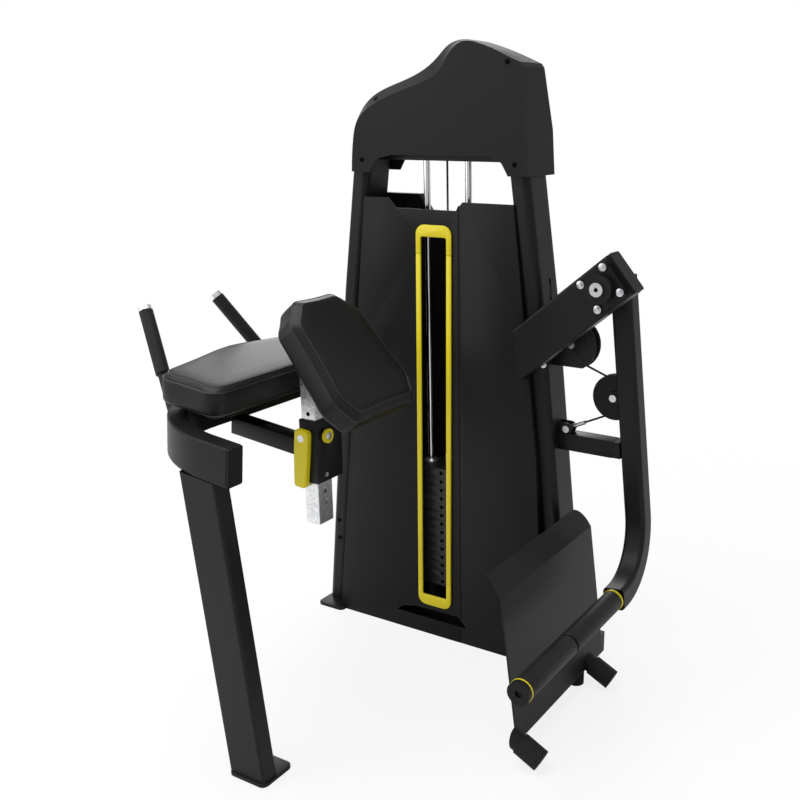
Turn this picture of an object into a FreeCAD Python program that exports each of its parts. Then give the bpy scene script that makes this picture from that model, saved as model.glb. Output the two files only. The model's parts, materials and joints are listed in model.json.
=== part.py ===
import FreeCAD, Part
import Sketcher
import math
import os
import re
import types

# Glute isolator machine: a plate-stack tower with a swinging leg arm on its right side, and an elbow pad,
# two handles and a height-adjusted chest pad on its left. Millimetres, +Z up. The origin lies on the floor
# under the middle of the tower, in the plane of the front shroud's foot; -Y is the user's front side.
Vector = FreeCAD.Vector
Rotation = FreeCAD.Rotation
X_AXIS = Vector(1, 0, 0)
Y_AXIS = Vector(0, 1, 0)
Z_AXIS = Vector(0, 0, 1)

doc = FreeCAD.newDocument("GluteIsolator")
sheet = doc.addObject("Spreadsheet::Sheet", "Sizes")

SIZES = {
    # Tower uprights, rounded tubes that lean together and knee inward above the waist
    "upright_width": 50, "upright_depth": 100, "upright_corner": 17, "upright_wall": 3,
    "upright_front": 26, "upright_foot": 348, "knee_half": 258, "knee_height": 880,
    "upright_top_half": 206, "upright_top": 1268,
    # Plates under the uprights
    "foot_thick": 8, "foot_wide": 84, "foot_long": 164, "foot_corner": 14, "foot_reach": 44,
    "foot_shift": 12,
    # Crossmembers between the uprights
    "cross_deep": 60, "cross_tall": 40, "cross_wall": 3, "cross_low": 1204, "cable_hole": 9,
    "sill_low": 9, "sill_tall": 32, "cable_slot_wide": 10,
    # The plane of rods, cable and pulleys
    "cable_plane": 80, "cable_radius": 2.5,
    # Weight stack
    "plate_count": 13, "plate_wide": 210, "plate_deep": 88, "plate_thick": 22.7, "plate_pitch": 23,
    "stack_base": 127, "rod_half": 58, "rod_radius": 8, "rod_hole": 10, "stem_radius": 10.9,
    "stem_hole": 12.5, "pin_hole": 5, "bush_radius": 17.5, "bush_tall": 8, "rod_fit": 0.08,
    "hitch_radius": 12, "hitch_tall": 26, "stop_radius": 20,
    # Top pulleys and their cheeks
    "pulley_groove": 38, "pulley_rim": 45, "pulley_wide": 16, "pulley_lip": 2.5, "groove_half": 3.2,
    "pulley_gap": 92, "pulley_rise": 92, "pulley_height": "=cross_low + cross_tall + pulley_rise",
    "axle_radius": 5, "axle_fit": 0.08,
    "cheek_thick": 4, "cheek_gap": 1.5, "cheek_edge": 14, "head_radius": 8.5, "head_tall": 5,
    # Redirect pulley on the right upright and its guard
    "lower_groove": 34, "redirect_rim": 41, "redirect_x": 341, "redirect_z": 803,
    "guard_radius": 60, "guard_flat": 53, "guard_thick": 3,
    "guard_half": 12,
    # Pulley carried by the arm
    "arm_pulley_rim": 53, "arm_pulley_x": 447.5, "arm_pulley_z": 691, "ear_thick": 4, "ear_round": 14,
    "ear_back": 22,
    # Cable terminal on the right upright
    "terminal_x": 332, "terminal_z": 600, "terminal_radius": 5, "terminal_long": 46, "eye_radius": 8,
    "eye_half": 4, "bracket_thick": 4, "bracket_half": 9, "bracket_tall": 28, "bolt_radius": 4,
    # Box beam that carries the arm's pivot
    "beam_deep": 50, "beam_tall": 100, "beam_wall": 4, "beam_corner": 6, "beam_angle": 39.5,
    "beam_past": 44, "pivot_x": 454, "pivot_z": 956, "beam_plug_long": 12, "plug_lip": 1.5,
    "plug_rib": 2.4, "plug_groove": 1.6,
    # Pivot
    "shaft_radius": 12.5, "shaft_fit": 0.06, "flange_side": 86, "flange_thick": 12, "flange_corner": 14,
    "housing_radius": 31, "housing_tall": 19, "flange_bolt_half": 32, "flange_bolt": 7.5,
    "flange_bolt_tall": 6, "pivot_cap_radius": 15, "pivot_cap_tall": 7, "hub_radius": 30, "side_gap": 0.5,
    # Swing arm
    "arm_side": 50, "arm_corner": 10, "arm_wall": 4, "arm_plane": 86, "arm_lean": 6.05,
    "arm_above": 8, "arm_length": 685.5, "arm_bend": 145, "arm_tail": 16,
    # Leg roller
    "bar_radius": 12, "roller_radius": 24, "roller_fit": 0.3, "roller_far": 220, "roller_near": 192,
    "foam_round": 3, "spacer": 5, "ring_wide": 3, "ring_radius": 24.8, "collar_long": 6, "collar_radius": 24, "end_cap_long": 11,
    "hex_radius": 8, "hex_deep": 5,
    # Stop strut and its rubber
    "strut_side": 40, "strut_low": 550, "strut_end": 452, "strut_wall": 3, "bumper_inset": 1,
    "soft_gap": 0.3,
    # Base on the right side
    "side_beam_wide": 50, "side_beam_low": 32, "side_beam_tall": 52, "side_beam_near": -345, "side_beam_mitre": 92,
    "side_beam_far": 104, "base_wall": 3, "tie_near": 46, "tie_deep": 50,
    "stub_radius": 21, "stub_slope": 27, "cap_radius": 24, "cap_long": 56, "cap_end": 6,
    "cap_mouth_x": 445.7, "stub_near": -356, "stub_far": 4, "rubber_foot_radius": 19, "rubber_foot_y": -15,
    # Kick plate
    "kick_foot_x": 439, "kick_foot_z": 52, "kick_fold_x": 399, "kick_fold_z": 367, "kick_lip_x": 367,
    "kick_lip_z": 413, "kick_near": -357, "kick_far": 74, "kick_thick": 4, "kick_corner": 38,
    "rib_thick": 6, "rib_near": -225, "rib_far": -60, "rib_rise": 150,
    # Front post, its foot and the arc tube on it
    "post_wide": 92, "post_deep": 40, "post_corner": 6, "post_wall": 3, "post_front": -692,
    "post_foot_x": -3, "post_lean": 6.8, "post_foot_wide": 98, "post_foot_long": 88,
    "post_foot_edge": 4,
    "arc_tall": 80, "arc_deep": 40, "arc_corner": 4, "arc_wall": 3, "seat_tilt": 6, "beam_x": -258,
    "beam_z": 700.5, "arc_end_x": 4, "arc_bend": 190, "arc_plug_long": 5,
    # Cross beam, sleeve, post of the chest pad
    "link_side": 38, "link_y": -411, "link_z": 630, "link_wall": 3,
    "sleeve_low": 560, "sleeve_high": 697, "sleeve_back": -352, "sleeve_wall": 4, "post_fit": 0.15,
    "slide_wide": 36, "slide_deep": 46, "slide_wall": 2.5, "slide_x": -20.5, "slide_y": -408,
    "slide_low": 467, "slide_hole": 5, "hole_pitch": 25,
    # Locking pin and lever on the sleeve
    "pin_z": 662, "pin_radius": 4.9, "pin_collar": 13, "pin_collar_long": 6, "pin_ring": 15.5,
    "pin_ring_long": 5, "pin_back": 0.3, "lever_long": 128, "lever_wide": 36, "lever_tip": 30,
    "lever_thick": 13, "lever_tilt": 5, "lever_x": -29, "lever_z": 660, "lever_gap": 1,
    "lever_boss": 8, "sleeve_bolt": 5, "sleeve_bolt_z": 575,
    # Chest pad
    "chest_x": 72.6, "chest_y": -395, "chest_z": 856, "chest_slope": 50, "chest_thick": 62,
    "chest_half": 148, "chest_head": 134, "chest_head_half": 62, "chest_shoulder_half": 108, "chest_hip_half": 125,
    "chest_foot_half": 100, "chest_shoulder": 88, "chest_hip": 100, "chest_corner": 16, "chest_board": 6,
    "board_inset": 16, "pad_plate_long": 120, "pad_plate_wide": 90, "pad_plate_thick": 5,
    # Elbow pad
    "elbow_y": -395, "elbow_half": 243, "elbow_right": 115, "elbow_left_end": -41, "elbow_left_mid": -115,
    "elbow_thick": 62, "elbow_corner": 34, "elbow_board": 8, "elbow_rise": 12, "elbow_x": -193,
    "rail_wide": 40, "rail_long": 150, "rail_half": 150,
    # Handles
    "handle_x": -405, "handle_half": 102, "handle_z": 908, "handle_lean": 0.551, "handle_inward": 0.275,
    "handle_rise": 0.788, "handle_tube": 11, "grip_radius": 15, "grip_long": 150, "handle_cap": 10,
    "handle_reach": 262,
    # Front shroud with its slot, the wing on the right and the rear shroud
    "shroud_wall": 3, "shroud_back": 25.7, "shroud_top_front": 21, "shroud_low": 0.5, "shroud_top": 1117,
    "shroud_dip": 1094, "shroud_foot_half": 309, "shroud_top_half": 203, "foot_step": 8.5,
    "seam_low_x": 78, "seam_top_x": 66, "seam_gap": 1, "wing_top": 1114, "wing_top_x": 211,
    "wing_waist_x": 282, "wing_waist": 533, "wing_foot_x": 316, "dip_left": -110, "dip_right": 60,
    "dip_run": 22, "hand_left": -119, "hand_right": 95, "hand_low": 44.5, "hand_high": 72, "hand_run": 28,
    "slot_half": 36, "slot_bottom": 113, "slot_top": 1031, "slot_corner": 5, "frame_edge": 13.5,
    "frame_cap": 28, "frame_corner": 23, "frame_proud": 5, "frame_join": 41, "rear_deep": 24,
    "rear_top": 1120, "rear_low": 11, "rear_shoulder": -113, "rear_dip": 1070, "rear_run": 35,
    # Top cover: its front face, and the wider rim behind it where its sides begin
    "cover_front": 10, "cover_rim": 40, "cover_split": 66, "cover_back": 138, "cover_waist": 1275,
    "cover_crown": 92, "cover_wall": 4, "cover_half": 252, "cover_low": 1176, "cover_tall": 291,
    "arch_left": 178, "arch_right": 205, "arch_tall": 41, "arch_run": 21, "arch_round": 20,
    # Small clearances shared by many pieces
    "weld_gap": 0.05, "overrun": 5,
}

for row, (alias, number) in enumerate(SIZES.items(), start=1):
    sheet.set(f"A{row}", alias)
    sheet.set(f"B{row}", str(number))
    sheet.setAlias(f"B{row}", alias)
doc.recompute()
n = types.SimpleNamespace(**{alias: float(getattr(sheet, alias)) for alias in SIZES})


def linked(text):
    """Write each size's name in an expression as a reference to its cell."""
    def cell(match):
        word = match.group()
        return "Sizes." + word if word in SIZES else word
    return re.sub(r"[A-Za-z_]\w*", cell, text)


def bind(item, **sizes):
    for prop, text in sizes.items():
        item.setExpression(prop, linked(text))


def place(item, x="0", y="0", z="0", axis="0; 0; 1", turn="0"):
    spot = f"create(<<vector>>; {x}; {y}; {z})"
    rotation = f"create(<<rotation>>; create(<<vector>>; {axis}); {turn})"
    item.setExpression("Placement", linked(f"create(<<placement>>; {spot}; {rotation})"))


# Primitives whose sizes stay bound to the sheet


def box(length, width, height, x="0", y="0", z="0", axis="0; 0; 1", turn="0"):
    item = doc.addObject("Part::Box", "Block")
    bind(item, Length=length, Width=width, Height=height)
    place(item, x, y, z, axis, turn)
    return item


def cylinder(radius, height, x="0", y="0", z="0", axis="0; 0; 1", turn="0"):
    item = doc.addObject("Part::Cylinder", "Round")
    bind(item, Radius=radius, Height=height)
    place(item, x, y, z, axis, turn)
    return item


ALONG_BACK = {"axis": "1; 0; 0", "turn": "-90"}
ALONG_RIGHT = {"axis": "0; 1; 0", "turn": "90"}


def fused(*items):
    joint = doc.addObject("Part::MultiFuse", "Joined")
    joint.Shapes = list(items)
    return joint


def cut(base, *tools):
    result = doc.addObject("Part::Cut", "Cut")
    result.Base = base
    result.Tool = tools[0] if len(tools) == 1 else fused(*tools)
    return result


def grouped(*items):
    group = doc.addObject("Part::Compound", "Group")
    group.Links = list(items)
    return group


def rounded(base, radius, edges):
    """Fillet the edges of a bound solid that the test picks."""
    doc.recompute()
    item = doc.addObject("Part::Fillet", "Rounded")
    item.Base = base
    picked = [i for i, edge in enumerate(base.Shape.Edges, start=1) if edges(edge)]
    size = getattr(n, radius)
    item.Edges = [(i, size, size) for i in picked]
    return item


def runs_along(axis):
    """A test for straight edges that run along an axis."""
    def test(edge):
        if len(edge.Vertexes) != 2 or not isinstance(edge.Curve, Part.Line):
            return False
        return abs(edge.tangentAt(edge.FirstParameter).dot(axis)) > 1 - 1e-6
    return test


# Bodies made of a sketch and one feature, with every corner bound to the sheet


def origin_plane(body, role):
    return [item for item in body.Origin.OriginFeatures if item.Role == role][0]


def drawn(body, points, role="XY_Plane"):
    """A closed sketch whose corners are held by bound distances from the origin."""
    sketch = body.newObject("Sketcher::SketchObject", "Outline")
    sketch.AttachmentSupport = (origin_plane(body, role), [""])
    sketch.MapMode = "FlatFace"
    holder = doc.addObject("Spreadsheet::Sheet", "Corners")
    for row, (across, up) in enumerate(points, start=1):
        holder.set(f"A{row}", "=" + linked(across))
        holder.set(f"B{row}", "=" + linked(up))
    doc.recompute()
    spots = [Vector(float(holder.get(f"A{r}")), float(holder.get(f"B{r}")), 0)
             for r in range(1, len(points) + 1)]
    doc.removeObject(holder.Name)
    for start, end in zip(spots, spots[1:] + spots[:1]):
        sketch.addGeometry(Part.LineSegment(start, end), False)
    for i in range(len(points)):
        sketch.addConstraint(Sketcher.Constraint("Coincident", i, 2, (i + 1) % len(points), 1))
    for i, (across, up) in enumerate(points):
        for kind, text, value in (("DistanceX", across, spots[i].x), ("DistanceY", up, spots[i].y)):
            index = sketch.addConstraint(Sketcher.Constraint(kind, -1, 1, i, 1, value))
            sketch.setExpression(f"Constraints[{index}]", linked(text))
    return sketch


def padded(points, length):
    """A straight extrusion of an outline, towards +Z of its own body."""
    body = doc.addObject("PartDesign::Body", "Body")
    pad = body.newObject("PartDesign::Pad", "Pad")
    pad.Profile = drawn(body, points)
    bind(pad, Length=length)
    doc.recompute()
    return body


def turned(points):
    """A solid of revolution about Z from (radius, height) corners."""
    body = doc.addObject("PartDesign::Body", "Body")
    sketch = drawn(body, points, "XZ_Plane")
    turn = body.newObject("PartDesign::Revolution", "Turned")
    turn.Profile = sketch
    turn.ReferenceAxis = (sketch, ["V_Axis"])
    turn.Angle = 360
    doc.recompute()
    return body


def body_fillet(body, radius, edges):
    feature = body.newObject("PartDesign::Fillet", "Rounded")
    base = body.Tip if body.Tip is not feature else feature.BaseFeature
    names = [f"Edge{i}" for i, edge in enumerate(base.Shape.Edges, start=1) if edges(edge)]
    feature.Base = (base, names)
    bind(feature, Radius=radius)
    doc.recompute()
    return body


# Forms made with the kernel's own functions


def section(width, depth, corner):
    """A rounded rectangle about the origin in the XY plane."""
    a, b = width / 2, depth / 2
    corners = [Vector(-a, -b), Vector(a, -b), Vector(a, b), Vector(-a, b)]
    return round_outline(corners, [corner] * 4)


def round_outline(corners, radii):
    """Straight runs joined by arcs of the given radii at the corners."""
    edges = []
    count = len(corners)
    starts, ends, arcs = [], [], []
    for i, (corner, radius) in enumerate(zip(corners, radii)):
        before = (corners[i - 1] - corner).normalize()
        after = (corners[(i + 1) % count] - corner).normalize()
        half = before.getAngle(after) / 2
        run = radius / math.tan(half)
        middle = (before + after).normalize()
        starts.append(corner + before * run)
        ends.append(corner + after * run)
        arcs.append(corner + middle * (radius / math.sin(half) - radius))
    for i in range(count):
        if radii[i] > 0:
            edges.append(Part.Arc(starts[i], arcs[i], ends[i]).toShape())
        edges.append(Part.LineSegment(ends[i], starts[(i + 1) % count]).toShape())
    return Part.Wire(edges)


def flat(points):
    """Points (x, z) as vectors in the XZ plane."""
    return [Vector(x, 0, z) for x, z in points]


def shift(shape, x=0, y=0, z=0):
    return shape.translated(Vector(x, y, z))


def block(x0, x1, y0, y1, z0, z1):
    return Part.makeBox(x1 - x0, y1 - y0, z1 - z0, Vector(x0, y0, z0))


def rod(radius, start, end):
    return Part.makeCylinder(radius, (end - start).Length, start, end - start)


def straight_tube(width, depth, corner, wall, length):
    """A tube along Z with its foot at the origin."""
    outer = Part.Face(section(width, depth, corner)).extrude(Z_AXIS * length)
    inner_corner = max(corner - wall, wall / 2)
    inner = Part.Face(section(width - 2 * wall, depth - 2 * wall, inner_corner)).extrude(Z_AXIS * length)
    return outer.cut(inner), outer


def swept(path, width, depth, corner, wall, turn):
    """A tube along a wire, hollow, with the section turned to face the wire's start."""
    start = path.Vertexes[0].Point
    shells = []
    inner_corner = max(corner - wall, wall / 2)
    for inset, rounding in ((0, corner), (wall, inner_corner)):
        wire = section(width - 2 * inset, depth - 2 * inset, rounding)
        wire = wire.transformed(FreeCAD.Placement(start, turn).toMatrix())
        shells.append(path.makePipeShell([wire], True, True))
    return shells[0].cut(shells[1]), shells[0]


def feature(label, shape, placement=None):
    item = doc.addObject("Part::Feature", label)
    item.Label = label
    item.Shape = shape
    item.Placement = (placement or FreeCAD.Placement()).multiply(shape.Placement)
    return item


PARTS = []


def part(label, item):
    """Name a finished sub-part."""
    item.Label = label
    PARTS.append(item)
    return item


def made(label, shape, placement=None):
    return part(label, feature(label, shape, placement))


# Uprights


def upright_centre(z):
    """Distance of an upright's centre line from the middle of the tower."""
    if z <= n.knee_height:
        return n.upright_foot + (n.knee_half - n.upright_foot) * z / n.knee_height
    share = (z - n.knee_height) / (n.upright_top - n.knee_height)
    return n.knee_half + (n.upright_top_half - n.knee_half) * share


def upright_solid(inset):
    heights = [n.foot_thick, n.knee_height, n.upright_top]
    wires = []
    for z in heights:
        corner = n.upright_corner - inset
        wire = section(n.upright_width - 2 * inset, n.upright_depth - 2 * inset, corner)
        middle = n.upright_front + n.upright_depth / 2
        wires.append(shift(wire, upright_centre(z), middle, z))
    return Part.makeLoft(wires, True, True)


UPRIGHT_OUTER = upright_solid(0)
UPRIGHT_TUBE = UPRIGHT_OUTER.cut(upright_solid(n.upright_wall))
LEFT_OUTER = UPRIGHT_OUTER.mirror(Vector(), X_AXIS)


def uprights():
    made("left_upright", UPRIGHT_TUBE.mirror(Vector(), X_AXIS))
    half = n.cable_slot_wide / 2
    start, end = DROP
    down = end - start
    channel = block(-half, half, -half, half, 0, down.Length)
    channel = channel.transformed(FreeCAD.Placement(start, Rotation(Z_AXIS, down)).toMatrix())
    made("right_upright", UPRIGHT_TUBE.cut(channel))


def foot_plates():
    plates = []
    for side in ("-1", "1"):
        plate = box("foot_wide", "foot_long", "foot_thick", f"{side} * (upright_foot - foot_shift) - foot_wide / 2",
                    "upright_front - foot_reach", "0")
        plates.append(rounded(plate, "foot_corner", runs_along(Z_AXIS)))
    plate = box("post_foot_wide", "post_foot_long", "foot_thick", "post_foot_x - post_foot_wide / 2",
                "post_front - post_foot_edge", "0")
    plates.append(rounded(plate, "foot_corner", runs_along(Z_AXIS)))
    part("foot_plates", grouped(*plates))


def crossmembers():
    deep0 = n.cable_plane - n.cross_deep / 2
    deep1 = n.cable_plane + n.cross_deep / 2
    reach = upright_centre(n.cross_low)
    bar = block(-reach, reach, deep0, deep1, n.cross_low, n.cross_low + n.cross_tall)
    wall = n.cross_wall
    bore = block(-reach, reach, deep0 + wall, deep1 - wall, n.cross_low + wall,
                 n.cross_low + n.cross_tall - wall)
    hole = rod(n.cable_hole, Vector(0, n.cable_plane, n.cross_low - n.overrun),
               Vector(0, n.cable_plane, n.cross_low + n.cross_tall + n.overrun))
    half = n.cable_slot_wide / 2
    notch = block(2 * n.pulley_groove + n.pulley_gap - 2 * half, reach, n.cable_plane - half,
                  n.cable_plane + half, n.cross_low - n.overrun, n.cross_low + n.cross_tall + n.overrun)
    top_bar = bar.cut([bore, hole, notch, UPRIGHT_OUTER, LEFT_OUTER])
    side = n.pulley_wide / 2 + n.cheek_gap
    cheek_low = n.cross_low + n.cross_tall
    cheeks = []
    for near in (n.cable_plane - side - n.cheek_thick, n.cable_plane + side):
        plate = block(n.pulley_groove - 2 * n.cheek_edge, n.pulley_groove + n.pulley_gap + 2 * n.cheek_edge,
                      near, near + n.cheek_thick, cheek_low, n.pulley_height + n.cheek_edge)
        holes = [rod(n.axle_radius, Vector(spot.x, near - n.overrun, spot.z),
                     Vector(spot.x, near + n.cheek_thick + n.overrun, spot.z))
                 for spot in (FIRST_TOP, SECOND_TOP)]
        cheeks.append(plate.cut(holes))
    top_bar = top_bar.fuse(cheeks).removeSplitter()
    reach = upright_centre(n.sill_low)
    bar = block(-reach, reach, deep0, deep1, n.sill_low, n.sill_low + n.sill_tall)
    bore = block(-reach, reach, deep0 + wall, deep1 - wall, n.sill_low + wall,
                 n.sill_low + n.sill_tall - wall)
    sill = bar.cut([bore, UPRIGHT_OUTER, LEFT_OUTER])
    made("crossmembers", Part.makeCompound([top_bar, sill]))


# Weight stack


def weight_stack():
    count = int(n.plate_count)
    middle = n.cable_plane
    plate = block(-n.plate_wide / 2, n.plate_wide / 2, middle - n.plate_deep / 2,
                  middle + n.plate_deep / 2, 0, n.plate_thick)
    holes = [rod(n.rod_hole, Vector(x, middle, -n.overrun), Vector(x, middle, n.plate_thick + n.overrun))
             for x in (-n.rod_half, n.rod_half)]
    stem_hole = rod(n.stem_hole, Vector(0, middle, -n.overrun), Vector(0, middle, n.plate_thick + n.overrun))
    pin = rod(n.pin_hole, Vector(0, middle - n.plate_deep / 2 - n.overrun, n.plate_thick / 2),
              Vector(0, middle, n.plate_thick / 2))
    plate = plate.cut(holes + [stem_hole, pin])
    stack = [shift(plate, 0, 0, n.stack_base + i * n.plate_pitch) for i in range(count)]
    made("weight_plates", Part.makeCompound(stack))

    head_low = "(stack_base + plate_count * plate_pitch)"
    head = box("plate_wide", "plate_deep", "plate_thick", "-plate_wide / 2",
               "cable_plane - plate_deep / 2", head_low)
    tools = [cylinder("rod_hole", "plate_thick + 2 * overrun", x, "cable_plane", head_low + " - overrun")
             for x in ("-rod_half", "rod_half")]
    tools.append(cylinder("pin_hole", "plate_deep / 2", "0", "cable_plane - plate_deep / 2 - overrun",
                          head_low + " + plate_thick / 2", **ALONG_BACK))
    part("head_plate", cut(head, *tools))

    stem = cylinder("stem_radius", "plate_count * plate_pitch - plate_pitch / 2", "0", "cable_plane",
                    "stack_base + plate_pitch / 2")
    hitch = cylinder("hitch_radius", "hitch_tall", "0", "cable_plane", head_low + " + plate_thick")
    part("selector_stem", grouped(stem, hitch))

    bush = [("rod_radius + rod_fit", "0"), ("bush_radius", "0"), ("bush_radius", "bush_tall / 2"),
            ("bush_radius - bush_tall / 2", "bush_tall"), ("rod_radius + rod_fit", "bush_tall")]
    bushes = []
    for x in ("-rod_half", "rod_half"):
        ring = turned(bush)
        place(ring, x, "cable_plane", head_low + " + plate_thick")
        bushes.append(ring)
    part("rod_bushes", grouped(*bushes))

    rod_low = "sill_low + sill_tall"
    rods = [cylinder("rod_radius", f"cross_low - ({rod_low})", x, "cable_plane", rod_low)
            for x in ("-rod_half", "rod_half")]
    part("guide_rods", grouped(*rods))
    stops = []
    for x in ("-rod_half", "rod_half"):
        ring = turned([("rod_radius + rod_fit", "0"), ("stop_radius", "0"),
                       ("stop_radius", f"stack_base - ({rod_low})"),
                       ("rod_radius + rod_fit", f"stack_base - ({rod_low})")])
        place(ring, x, "cable_plane", rod_low)
        stops.append(ring)
    part("bump_stops", grouped(*stops))


# Pulleys and their bolts
FRAME_BOLTS = []


def through_bolt(radius, head, x, start, end, z):
    """A bolt along Y with a head at one end and a nut at the other."""
    shank = rod(radius, Vector(x, start, z), Vector(x, end, z))
    ends = [rod(head, Vector(x, low, z), Vector(x, low + n.head_tall, z)) for low in (start - n.head_tall, end)]
    return shank.fuse(ends).removeSplitter()


def pulley(label, groove, rim, x, z):
    bore = "axle_radius + axle_fit"
    half = "pulley_wide / 2"
    groove += " - cable_radius - weld_gap"
    profile = [(bore, "-" + half), (rim, "-" + half), (rim, f"pulley_lip - {half}"),
               (groove, "-groove_half"), (groove, "groove_half"), (rim, f"{half} - pulley_lip"),
               (rim, half), (bore, half)]
    wheel = turned(profile)
    place(wheel, x, "cable_plane", z, "1; 0; 0", "90")
    part(label, wheel)


def top_pulleys():
    first = "pulley_groove"
    second = "pulley_groove + pulley_gap"
    pulley("top_pulley_inner", "pulley_groove", "pulley_rim", first, "pulley_height")
    pulley("top_pulley_outer", "pulley_groove", "pulley_rim", second, "pulley_height")
    side = n.pulley_wide / 2 + n.cheek_gap + n.cheek_thick
    for spot in (FIRST_TOP, SECOND_TOP):
        FRAME_BOLTS.append(through_bolt(n.axle_radius, n.head_radius, spot.x, n.cable_plane - side,
                                        n.cable_plane + side, spot.z))


def redirect_pulley():
    pulley("redirect_pulley", "lower_groove", "redirect_rim", "redirect_x", "redirect_z")
    depth = n.guard_thick
    plates = []
    for near in (n.cable_plane - n.guard_half - depth, n.cable_plane + n.guard_half):
        disc = rod(n.guard_radius, Vector(n.redirect_x, near, n.redirect_z),
                   Vector(n.redirect_x, near + depth, n.redirect_z))
        web = block(n.redirect_x - n.guard_radius - n.overrun, n.redirect_x, near, near + depth,
                    n.redirect_z - n.guard_flat, n.redirect_z + n.guard_radius / 2)
        below = block(n.redirect_x - 2 * n.guard_radius, n.redirect_x + 2 * n.guard_radius, near, near + depth,
                      n.redirect_z - 2 * n.guard_radius, n.redirect_z - n.guard_flat)
        hole = rod(n.axle_radius, Vector(n.redirect_x, near - n.overrun, n.redirect_z),
                   Vector(n.redirect_x, near + depth + n.overrun, n.redirect_z))
        plates.append(disc.fuse(web).removeSplitter().cut([below, hole, UPRIGHT_OUTER]))
    made("pulley_guard", Part.makeCompound(plates))
    side = n.guard_half + depth
    FRAME_BOLTS.append(through_bolt(n.axle_radius, n.head_radius, n.redirect_x, n.cable_plane - side,
                                    n.cable_plane + side, n.redirect_z))


def cable_terminal():
    spot = Vector(n.terminal_x, n.cable_plane, n.terminal_z)
    plates = []
    for near in (n.cable_plane - n.bracket_half - n.bracket_thick, n.cable_plane + n.bracket_half):
        plate = block(upright_centre(n.terminal_z), n.terminal_x, near, near + n.bracket_thick,
                      n.terminal_z - n.bracket_tall / 2, n.terminal_z + n.bracket_tall / 2)
        nose = rod(n.bracket_tall / 2, Vector(n.terminal_x, near, n.terminal_z),
                   Vector(n.terminal_x, near + n.bracket_thick, n.terminal_z))
        hole = rod(n.bolt_radius, Vector(n.terminal_x, near - n.overrun, n.terminal_z),
                   Vector(n.terminal_x, near + n.bracket_thick + n.overrun, n.terminal_z))
        under = block(0, 2 * n.terminal_x, near, near + n.bracket_thick, 0, n.strut_low + n.strut_side)
        plates.append(plate.fuse(nose).removeSplitter().cut([hole, under, UPRIGHT_OUTER]))
    made("terminal_bracket", Part.makeCompound(plates))
    side = n.bracket_half + n.bracket_thick
    FRAME_BOLTS.append(through_bolt(n.bolt_radius, n.head_radius, spot.x, n.cable_plane - side,
                                    n.cable_plane + side, spot.z))
    direction = (LOWER_RUN[1] - LOWER_RUN[0]).normalize()
    eye = rod(n.eye_radius, spot - Y_AXIS * n.eye_half, spot + Y_AXIS * n.eye_half)
    barrel = rod(n.terminal_radius, spot, spot + direction * n.terminal_long)
    hole = rod(n.bolt_radius, spot - Y_AXIS * 2 * n.eye_radius, spot + Y_AXIS * 2 * n.eye_radius)
    made("cable_terminal", eye.fuse(barrel).cut(hole))


# Cable


def tangent_below(centre, radius, spot):
    """Where a line from a spot touches the lower side of a circle, in the XZ plane."""
    gap = centre - spot
    away = math.asin(radius / gap.Length)
    heading = math.atan2(gap.z, gap.x) - away
    run = gap.Length * math.cos(away)
    return spot + Vector(math.cos(heading), 0, math.sin(heading)) * run


def crossing(low, high, radius_low, radius_high):
    """The line that passes under one circle and over the other, in the XZ plane."""
    gap = high - low
    lean = math.asin((radius_low + radius_high) / gap.Length)
    heading = math.atan2(gap.z, gap.x) + lean
    up = Vector(-math.sin(heading), 0, math.cos(heading))
    return low - up * radius_low, high + up * radius_high


def arc(centre, start, end, side):
    """An arc from start to end about a centre, bulging towards side."""
    radius = (start - centre).Length
    middle = ((start + end) / 2 - centre)
    if middle.Length < radius / 100:
        middle = side
    middle = middle.normalize()
    if middle.dot(side) < 0:
        middle = -middle
    return Part.Arc(start, centre + middle * radius, end).toShape()


def at_plane(x, z):
    return Vector(x, n.cable_plane, z)


FIRST_TOP = at_plane(n.pulley_groove, n.pulley_height)
SECOND_TOP = at_plane(n.pulley_groove + n.pulley_gap, n.pulley_height)
REDIRECT = at_plane(n.redirect_x, n.redirect_z)
ARM_PULLEY = at_plane(n.arm_pulley_x, n.arm_pulley_z)
TERMINAL = at_plane(n.terminal_x, n.terminal_z)


def drop_line():
    """The run from the outer top pulley down to the left side of the redirect pulley."""
    gap = SECOND_TOP - REDIRECT
    lean = math.asin((n.pulley_groove + n.lower_groove) / gap.Length)
    heading = math.atan2(gap.z, gap.x) - lean
    right = Vector(math.sin(heading), 0, -math.cos(heading))
    return SECOND_TOP + right * n.pulley_groove, REDIRECT - right * n.lower_groove


DROP = drop_line()
UPPER_RUN = crossing(REDIRECT, ARM_PULLEY, n.lower_groove, n.lower_groove)
LOWER_RUN = (TERMINAL, tangent_below(ARM_PULLEY, n.lower_groove, TERMINAL))


def cable_tube(edges):
    path = Part.Wire(edges)
    start = path.Edges[0].firstVertex(True).Point
    heading = path.Edges[0].tangentAt(path.Edges[0].FirstParameter)
    ring = Part.Wire(Part.Circle(start, heading, n.cable_radius).toShape())
    return path.makePipeShell([ring], True, False)


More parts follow.
